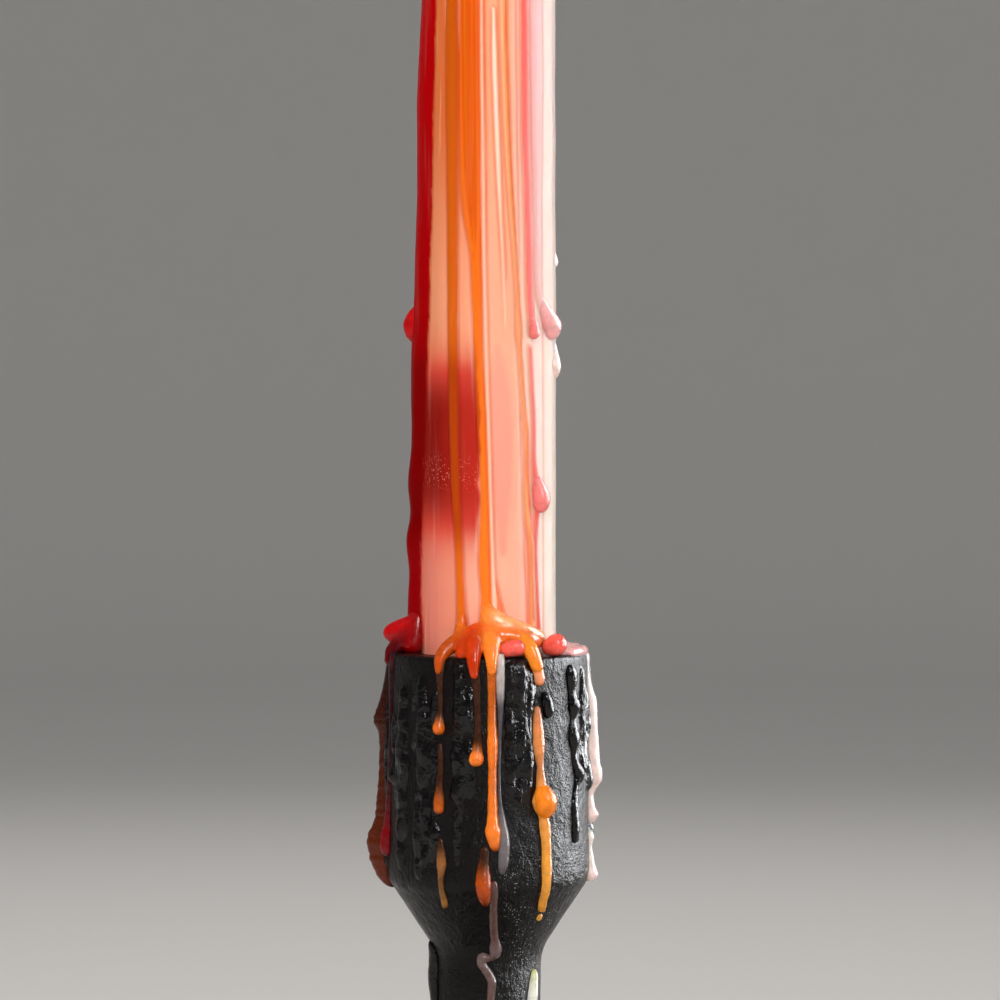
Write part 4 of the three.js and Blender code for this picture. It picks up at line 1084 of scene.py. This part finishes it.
def lay_run(name, slot, line, ripple, ripple_size, seed, material):
    run = baked(name + "_wax", wax_run, {
        "Line": line, "Section Points": SECTION_POINTS, "Sink": RUN_SINK * MM, "Ripple": ripple,
        "Ripple Size": ripple_size, "Seed": seed, "Material": material,
    })
    fitted(run, slot, name)


for seed, (name, (slot, film, top, bottom, knots)) in enumerate(cup_flows.items()):
    line = flow_lines(
        name + "_line", [(top, bottom, knots)], holder_bed, step=0.3, round_ends=True, film=film)
    lay_run(name, slot, line, ripple=0.35, ripple_size=1.1 * MM, seed=1.0 + seed, material=run_wax)

# ---------------------------------------------------------------- wax that pooled on the rim
# Where the runs met the cup they piled up as soft lumps that fused with each other and with the candle. Each
# lump is [turn, distance from the axis, height above the rim, radius], and a pool's lumps melt into one body.

pools = {
    "orange_pool": ("orange", {
        "left_foot": (AMBER, [
            [-22.4, 11.5, 6.6, 0.7], [-22.2, 11.9, 4.8, 1], [-21, 12.6, 3.4, 1.4], [-18, 13, 3, 1.6]]),
        "left_tail": (paint(186, 76, 8), [
            [-20, 13.3, 2.8, 1.5], [-24, 13.9, 2.2, 1.4], [-27, 14.9, 1.4, 1.25], [-28.6, 15.9, 0.5, 1.1],
            [-29, 16.6, -0.7, 0.9], [-29.2, 16.9, -2.2, 0.65]]),
        "sheet": (paint(214, 68, 4), [
            [-21, 12.8, 2.6, 1.5], [-14, 13, 3.1, 1.9], [-8, 13, 3.5, 2.1], [-2, 13, 3.9, 2.2]]),
        "deep": (paint(196, 54, 2), [
            [-10, 13.9, 2.6, 1.8], [-9.4, 15, 1.5, 1.6], [-8.8, 16, 0.4, 1.3], [-8.4, 16.7, -1.1, 1],
            [-8, 16.9, -2.8, 0.7]]),
        "left_lobe": (paint(196, 54, 2), [
            [-16, 13.6, 2.2, 1.5], [-16.4, 14.6, 1.3, 1.3], [-16.6, 15.4, 0.6, 1]]),
        "peak": (ORANGE, [
            [-0.6, 11.7, 8, 1], [0.2, 12, 6.8, 1.5], [2, 12.6, 5.4, 1.9], [3, 13.2, 4, 2],
            [2, 14.4, 2.6, 1.8], [1.8, 15.8, 1.1, 1.4], [1.8, 16.6, -0.4, 1.05], [1.9, 16.9, -2, 0.8]]),
        "right_slope": (paint(252, 172, 112), [
            [4, 12.5, 6.2, 1.7], [10, 12.6, 5.5, 1.6], [16, 12.7, 4.9, 1.6], [24, 12.8, 4.2, 1.6],
            [33, 12.6, 3.5, 1.6], [42, 12.1, 2.8, 1.4], [47, 11.9, 2.2, 1]]),
        "apron": (paint(240, 112, 36), [
            [4, 13.6, 3.6, 1.7], [12, 13.7, 3.4, 1.6], [20, 13.8, 3.2, 1.6], [28, 13.8, 2.8, 1.5],
            [34, 13.4, 2.4, 1.3]]),
        "right_drip": (paint(250, 142, 38), [
            [22, 14, 2.9, 1.5], [24, 15, 2.2, 1.5], [25.6, 16, 1.2, 1.35], [26.8, 16.6, 0, 1.2],
            [27.8, 17, -1.4, 1.1]]),
    }),
    "orange_bead_front": ("orange", {"bead": (paint(244, 136, 30), [
        [31.6, 17.3, -22.2, 1.5], [32.4, 17.6, -23.4, 1.95], [32.6, 17.5, -24.4, 1.8],
        [32.8, 17.2, -25.4, 1.2]])}),
    "coral_bead_front": ("pink", {"bead": (CORAL, [
        [10.6, 15.2, 1.3, 1.25], [14, 15.4, 1.6, 1.4], [17.4, 15.4, 1.7, 1.45], [19.8, 15.2, 1.6, 1.3]])}),
    "coral_bead_side": ("pink", {"bead": (CORAL, [
        [47, 15.2, 1.9, 1.85], [44, 14.4, 1.4, 1.4], [50, 14.6, 1.5, 1.4], [50, 15, 3.4, 0.5]])}),
    "pale_pink_pool": ("pale_pink", {
        "outer": (PALE_PINK, [
            [60, 15.6, 0.3, 0.8], [68, 15.8, 0.4, 0.9], [80, 15.8, 0.4, 0.95], [92, 15.6, 0.2, 0.8]]),
        "middle": (PALE_PINK, [[57, 14.4, 0.5, 1], [74, 14.3, 0.6, 1.15], [94, 14.4, 0.5, 1]]),
        "inner": (SHELL, [[59, 13, 0.6, 1], [74, 12.9, 0.8, 1.2], [86, 12.9, 0.7, 1.1], [97, 12.9, 0.5, 1]]),
    }),
    "pink_pool_back": ("pink", {"pool": (PINK, [
        [138, 13, 0.4, 1], [144, 13.2, 0.9, 1.4], [150, 13, 1.4, 1.7], [150, 15, 0.8, 1.4],
        [150, 16.4, 0, 1], [156, 13.2, 0.9, 1.4], [163, 13, 0.4, 1]])}),
    "orange_pool_back": ("orange", {"pool": (ORANGE, [
        [-172, 12.8, 0.4, 1], [-165, 13, 1, 1.4], [-157, 12.9, 1.7, 1.8], [-157, 15, 0.9, 1.5],
        [-157, 16.4, 0, 1.1], [-148, 13, 1, 1.4], [-140, 12.8, 0.5, 1.1]])}),
    "red_lump": ("red", {
        "foot": (paint(142, 0, 4), [
            [-80, 12.2, 5.4, 1.5], [-80, 12.4, 3.8, 1.9], [-79, 12.7, 2.2, 1.95], [-77, 13, 1.2, 1.6]]),
        "lobe": (RED, [
            [-82, 13.2, 4.6, 1.5], [-84, 14.2, 3.9, 1.75], [-86, 15.3, 3.3, 1.85], [-87, 16, 3.1, 1.6]]),
        "root": (paint(84, 0, 6), [
            [-82, 13.6, 2.2, 1.8], [-83, 15, 1.2, 1.5], [-82, 16.2, 0.2, 1.2], [-80, 16.7, -1.4, 0.9]]),
    }),
    "red_drop": ("red", {"drop": (RED, [
        [-86, 11.6, 57, 0.9], [-87, 12.3, 55.6, 1.45], [-88, 12.6, 54.2, 1.8], [-88, 12.4, 53, 1.7],
        [-88, 11.9, 52, 1.2]])}),
    "pale_pink_drop": ("pale_pink", {"drop": (PALE_PINK, [
        [52, 10.6, 58.6, 0.7], [55, 10.9, 57, 1.1], [60, 11.1, 55.4, 1.6], [65, 11.2, 54.2, 1.85],
        [66, 11.1, 53.4, 1.6]])}),
    "cream_drop": ("pale_pink", {"drop": (SHELL, [
        [81, 10.3, 51.6, 0.8], [80, 10.5, 49.6, 1.1], [78, 10.7, 47.6, 1.45], [78, 10.6, 46.6, 1.35]])}),
    "cream_drop_upper": ("pale_pink", {"drop": (SHELL, [[83, 10.2, 66.6, 0.8], [82, 10.4, 64.6, 1.1]])}),
    "pink_drop": ("pink", {"drop": (PINK, [
        [40.4, 10.8, 55.4, 0.8], [41.4, 11, 53.8, 1], [41.8, 11, 53, 1.05]])}),
    "pink_drop_lower": ("pink", {"drop": (PINK, [
        [46, 10.9, 28.8, 0.9], [47.6, 11.2, 27.2, 1.35], [48.6, 11.5, 25.8, 1.6], [48.4, 11.4, 24.8, 1.4]])}),
}


def chained(lumps, gap=0.35):
    """Adds lumps between each one and the next, so that a row of them melts into one smooth limb."""
    lumps = np.array(lumps, float)
    along = np.radians(np.diff(lumps[:, 0])) * lumps[1:, 1]
    steps = np.hypot(along, np.hypot(*np.diff(lumps[:, 1:3], axis=0).T))
    travel = np.concatenate([[0], np.cumsum(steps)])
    stops = np.linspace(0, travel[-1], max(2, int(travel[-1] / gap)))
    return np.column_stack([np.interp(stops, travel, column) for column in lumps.T])


def lump_points(name, groups):
    points, radii, colours = [], [], []
    for colour, lumps in groups.values():
        for turn, distance, height, radius in chained(lumps):
            a = math.radians(turn)
            points.append((distance * math.sin(a) * MM, -distance * math.cos(a) * MM, (rim_z + height) * MM))
            radii.append(radius * MM)
            colours += colour[:3]
    return wire_object(name, points, [], lump_radius=radii, wax_colour=colours)


DYE_FUSING = 40


def fused_tree():
    """Turns lumps into one body, and lets its skin draw tight and ripple as cooling wax does."""
    tree, given, out = geometry_tree("fused_wax", {
        "Lumps": "Object", "Grain": "Float", "Fusing": "Int", "Ripple": "Float", "Ripple Size": "Float",
        "Seed": "Float", "Material": "Material",
    })
    lumps = object_geometry(given["Lumps"])
    radius = read(tree, "lump_radius")
    points = joined("GeometryNodeMeshToPoints", {"Mesh": lumps, "Radius": radius})
    sockets = {"Points": points, "Voxel Size": given["Grain"], "Radius": radius}
    volume = joined("GeometryNodePointsToVolume", sockets, resolution_mode="VOXEL_SIZE")
    sockets = {"Volume": volume, "Voxel Size": given["Grain"], "Threshold": 0.1}
    body = joined("GeometryNodeVolumeToMesh", sockets, resolution_mode="VOXEL_SIZE")
    body = placed(body, position=blurred(position(tree), given["Fusing"], "FLOAT_VECTOR"))
    colour = nearest_on(lumps)("wax_colour", "FLOAT_VECTOR")
    body = store(body, "wax_colour", blurred(colour, DYE_FUSING, "FLOAT_VECTOR"), "FLOAT_VECTOR")
    ripple = noise(position(tree), given["Ripple Size"], 2.0, given["Seed"]) * given["Ripple"]
    finished(along_normal(body, ripple), given["Material"], out)
    return tree


fused_wax = fused_tree()
pool_wax = run_wax_material("pool_wax", scatter=0.0012, roughness=0.22)
for seed, (name, (slot, groups)) in enumerate(pools.items()):
    pool = baked(name + "_wax", fused_wax, {
        "Lumps": lump_points(name + "_lumps", groups), "Grain": 0.2 * MM, "Fusing": 9, "Ripple": 0.08 * MM,
        "Ripple Size": 3 * MM, "Seed": 4.0 + seed, "Material": pool_wax,
    })
    fitted(pool, slot, *[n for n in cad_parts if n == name])

# ---------------------------------------------------------------- old black wax
# Runs of an earlier black candle, left on the cup and darkened by soot and dust. The glossy ones are whole,
# and between them the cup is ribbed with the flattened remains of many more.

SOOT = paint(12, 11, 13)
black_flows = {
    "black_run_upper": [
        [33.6, -5.6, 0.7, 0.6], [35, -7, 1, 1], [36.2, -8.6, 1.05, 1.15], [35.4, -10, 0.8, 0.8]],
    "black_run_side": [
        [54, -1.4, 0.9, 0.7], [55.4, -3.6, 1.25, 1.1], [55.6, -6, 1, 0.8], [57, -8.4, 1.3, 1.3],
        [56.6, -10.4, 0.7, 0.6], [56.2, -12, 1, 0.9], [57.4, -14.2, 1.2, 1.1], [57.6, -16, 0.6, 0.5],
        [59, -17.8, 0.9, 0.8], [62.4, -19.8, 1.15, 1.2], [60, -21.4, 0.7, 0.6], [58, -24.4, 0.8, 0.6],
        [58.4, -27.4, 0.9, 0.8], [58.6, -31, 0.7, 0.6]],
    "black_run_stem": [
        [-76, -48, 0.9, 0.6], [-78, -51, 1.4, 1.1], [-80, -54, 1.5, 1.3], [-78, -58, 1.2, 0.9],
        [-76, -62, 0.9, 0.6]],
}
# The wider ones are ribs of the same skin as the small ones below.
black_ribs = {
    "black_run_front_1": [
        [12.6, -1, 1.2, 1], [13.2, -4, 1.5, 1.3], [12.4, -8, 1.1, 1], [13.4, -12, 1.3, 1.2],
        [12.8, -18, 1.1, 1], [13.4, -23, 0.6, 0.6]],
    "black_run_front_2": [
        [18, -0.8, 1.3, 1.1], [18.6, -3.4, 1.6, 1.4], [18, -8, 1.2, 1.1], [18.8, -13, 1.4, 1.2],
        [18.2, -20, 1.1, 1], [18.8, -25, 0.6, 0.6]],
    "black_run_front_3": [
        [23.4, -2.4, 1.1, 1], [23.8, -6, 1.3, 1.2], [23, -11, 1, 1], [23.8, -16, 1.2, 1.1],
        [23.4, -22, 0.8, 0.8], [23.8, -26, 0.5, 0.5]],
    "black_run_left_1": [
        [-17.6, -0.6, 1.2, 0.8], [-16.8, -6, 1.1, 1], [-17.6, -14, 1.3, 0.9], [-17, -22, 1, 1],
        [-17.8, -30, 0.9, 0.8], [-17.4, -34, 0.6, 0.5]],
    "black_run_left_2": [
        [-42, -4, 1.2, 0.8], [-43, -12, 1.4, 1.1], [-42.4, -20, 1.2, 0.9], [-43.6, -28, 1.4, 1.1],
        [-43, -36, 1, 0.7]],
    "black_run_left_3": [
        [-58, -6, 1.3, 0.9], [-59, -14, 1.5, 1.2], [-58.6, -22, 1.3, 1], [-60, -30, 1.2, 1.1],
        [-59.6, -35, 0.8, 0.8]],
}


def black_wax_material():
    """Black paraffin: mirror-like on the lumps, dull and a little brown where dust settled."""
    material, surface, here = new_material("old_black_wax")
    dust = remap(grain(here, 0.003, 4.0), 0.45, 0.7)
    drawn_down = grain(stretched(here, (1, 1, 0.45)), 0.0014, 3.0, 0.55, 0.8)
    feed(surface, {
        "Base Color": blend(dust, paint(4, 3, 4), paint(14, 9, 7)),
        "Roughness": dust * 0.22 + 0.1,
        "Specular IOR Level": 0.34,
        "Normal": bump(grain(here, 0.0005) * 0.3 + drawn_down, 0.00034),
    })
    return material


black_wax = black_wax_material()
for seed, (name, knots) in enumerate(black_flows.items()):
    line = flow_lines(name + "_line", [(SOOT, SOOT, knots)], holder_bed, step=0.3, round_ends=True)
    lay_run(name, "black", line, ripple=0.3, ripple_size=3 * MM, seed=30.0 + seed, material=black_wax)

OLD_TRICKLES = 58
RIDGE_SINK = 0.3
RIDGE_SIDES = 440
CLEAR_PANEL = (36, 66)
CLEAR_OF_RUN = 3.1
ridge_low = rim_z - 47
ridge_high = rim_z - 0.9
run_turns = [np.mean([knot[0] for knot in knots]) for *_, knots in cup_flows.values()]
chance = np.random.default_rng(7)
ridges = [(SOOT, SOOT, knots) for knots in black_ribs.values()]
for number in range(OLD_TRICKLES):
    turn = number * 360 / OLD_TRICKLES + chance.uniform(-3, 3)
    top, length = chance.uniform(-14, -0.6), chance.uniform(10, 30)
    turn = (turn + 180) % 360 - 180
    if CLEAR_PANEL[0] < turn < CLEAR_PANEL[1] or min(abs(turn - t) for t in run_turns) < CLEAR_OF_RUN:
        continue
    heights = np.arange(top, max(top - length, -42), -3.4)
    ridges.append((SOOT, SOOT, [
        [turn + chance.uniform(-0.9, 0.9), height, chance.uniform(0.7, 1.35), chance.uniform(0.55, 1.3)]
        for height in heights] + [[turn, heights[-1] - 1.2, 0.3, 0.2]]))


def ridge_bed(z):
    return holder_bed(z) - RIDGE_SINK


wall = [(ridge_bed(z), z) for z in np.arange(ridge_low, ridge_high, 0.22)]
inner_wall = [(r - 1, z) for r, z in [*wall[::-24], wall[0]]]
ridge_outline = outline_object("ridge_outline", wall + inner_wall + wall[:1])
old_wax = baked("old_black_ridges", wax_skin, {
    "Outline": ridge_outline, "Sides": RIDGE_SIDES, "Axis": 0.0,
    "Flows": flow_lines("ridge_lines", ridges, ridge_bed, step=0.5, apart=False), "Flow Count": 1,
    "Wave Size": 2.4 * MM, "Wave Height": 0.55 * MM, "Edge Wobble": 0.5, "Softening": 6, "Seed": 8.0,
    "Material": black_wax,
})
fitted(old_wax, "black", *black_ribs)

# ---------------------------------------------------------------- studio
# A pale matt floor that sweeps up into a round wall. Four broad softboxes light the object. A reflector and
# a small lamp only put sheens and glints on it. The camera looks along +Y, a little down.

FLAT_RADIUS = 1.5
SWEEP = 0.8
WALL_TOP = 2.4
STUDIO_SIDES = 96


def studio():
    rows = [(FLAT_RADIUS * k / 6, 0) for k in range(7)]
    rows += [(FLAT_RADIUS + SWEEP * math.sin(a), SWEEP - SWEEP * math.cos(a))
             for a in np.linspace(0, math.pi / 2, 16)[1:]]
    rows += [(FLAT_RADIUS + SWEEP, WALL_TOP)]
    turns = np.arange(STUDIO_SIDES) * 2 * math.pi / STUDIO_SIDES
    points = [(r * math.cos(t), r * math.sin(t), z) for r, z in rows for t in turns]
    corners = ((0, 0), (0, 1), (1, 1), (1, 0))
    faces = [[(i + up) * STUDIO_SIDES + (j + on) % STUDIO_SIDES for up, on in corners]
             for i in range(len(rows) - 1) for j in range(STUDIO_SIDES)]
    mesh = bpy.data.meshes.new("studio_floor")
    mesh.from_pydata(points, [], faces)
    mesh.polygons.foreach_set("use_smooth", [True] * len(faces))
    material, surface, _ = new_material("studio_grey")
    feed(surface, {"Base Color": paint(226, 224, 221), "Roughness": 1.0, "Specular IOR Level": 0.0})
    mesh.materials.append(material)
    floor = bpy.data.objects.new("studio_floor", mesh)
    bpy.context.scene.collection.objects.link(floor)


def softbox(name, azimuth, elevation, distance, size, power, colour, spread=180, unseen_by=None):
    """An area light aimed at the cup. Azimuth 0 is the camera's side, and +90 is on its right."""
    data = bpy.data.lights.new(name, "AREA")
    data.shape = "RECTANGLE"
    data.size, data.size_y = size
    data.energy = power
    data.color = colour
    data.spread = math.radians(spread)
    light = bpy.data.objects.new(name, data)
    a, e = math.radians(azimuth), math.radians(elevation)
    target = Vector((0, 0, (rim_z + 20) * MM))
    aim = Vector((math.sin(a) * math.cos(e), -math.cos(a) * math.cos(e), math.sin(e)))
    light.location = target + aim * distance
    light.rotation_euler = aim.to_track_quat("Z", "Y").to_euler()
    light.visible_camera = False
    if unseen_by:
        setattr(light, "visible_" + unseen_by, False)
    bpy.context.scene.collection.objects.link(light)


studio()
WARM = (1, 0.98, 0.96)
softbox("front_softbox", 8, 32, 0.95, (0.8, 0.8), 3.7, WARM, 130, "glossy")
softbox("fill_softbox", -58, 30, 0.95, (0.6, 0.8), 2.35, WARM, 130, "glossy")
softbox("back_softbox", 178, 40, 0.95, (0.7, 0.8), 1.3, WARM, 130, "glossy")
softbox("key_softbox", 78, 12, 0.85, (0.5, 0.8), 1.13, (0.98, 0.99, 1), 130)
# Seen only as a sheen, on the paint and on wet-looking wax, and as glints on the drops and the old black wax.
softbox("sheen_reflector", 103, 6, 0.75, (0.76, 0.9), 47, (0.95, 0.97, 1), unseen_by="diffuse")
softbox("glint_lamp", 28, 30, 0.8, (0.18, 0.3), 5.2, (0.96, 0.98, 1), unseen_by="diffuse")
world = bpy.data.worlds.new("studio_world")
world.use_nodes = True
feed(world.node_tree.nodes["Background"], {"Color": (0.96, 0.97, 1, 1), "Strength": 0.26})
bpy.context.scene.world = world
bpy.context.scene.view_settings.view_transform = "Standard"

FRAME_HEIGHT = 166 * MM
LENS = 200
SENSOR = 36
CAMERA_TILT = 2.5
CAMERA_ROLL = 0.15
aim_point = Vector((1.8 * MM, 0, (rim_z + 25.2) * MM))
tilt = math.radians(CAMERA_TILT)
data = bpy.data.cameras.new("camera")
data.lens = LENS
data.sensor_width = SENSOR
data.clip_start = 0.01
camera = bpy.data.objects.new("camera", data)
camera.location = aim_point + Vector((0, -math.cos(tilt), math.sin(tilt))) * (FRAME_HEIGHT * LENS / SENSOR)
aim = (aim_point - camera.location).to_track_quat("-Z", "Y")
camera.rotation_euler = (aim @ Quaternion((0, 0, 1), math.radians(CAMERA_ROLL))).to_euler()
bpy.context.scene.collection.objects.link(camera)
bpy.context.scene.camera = camera
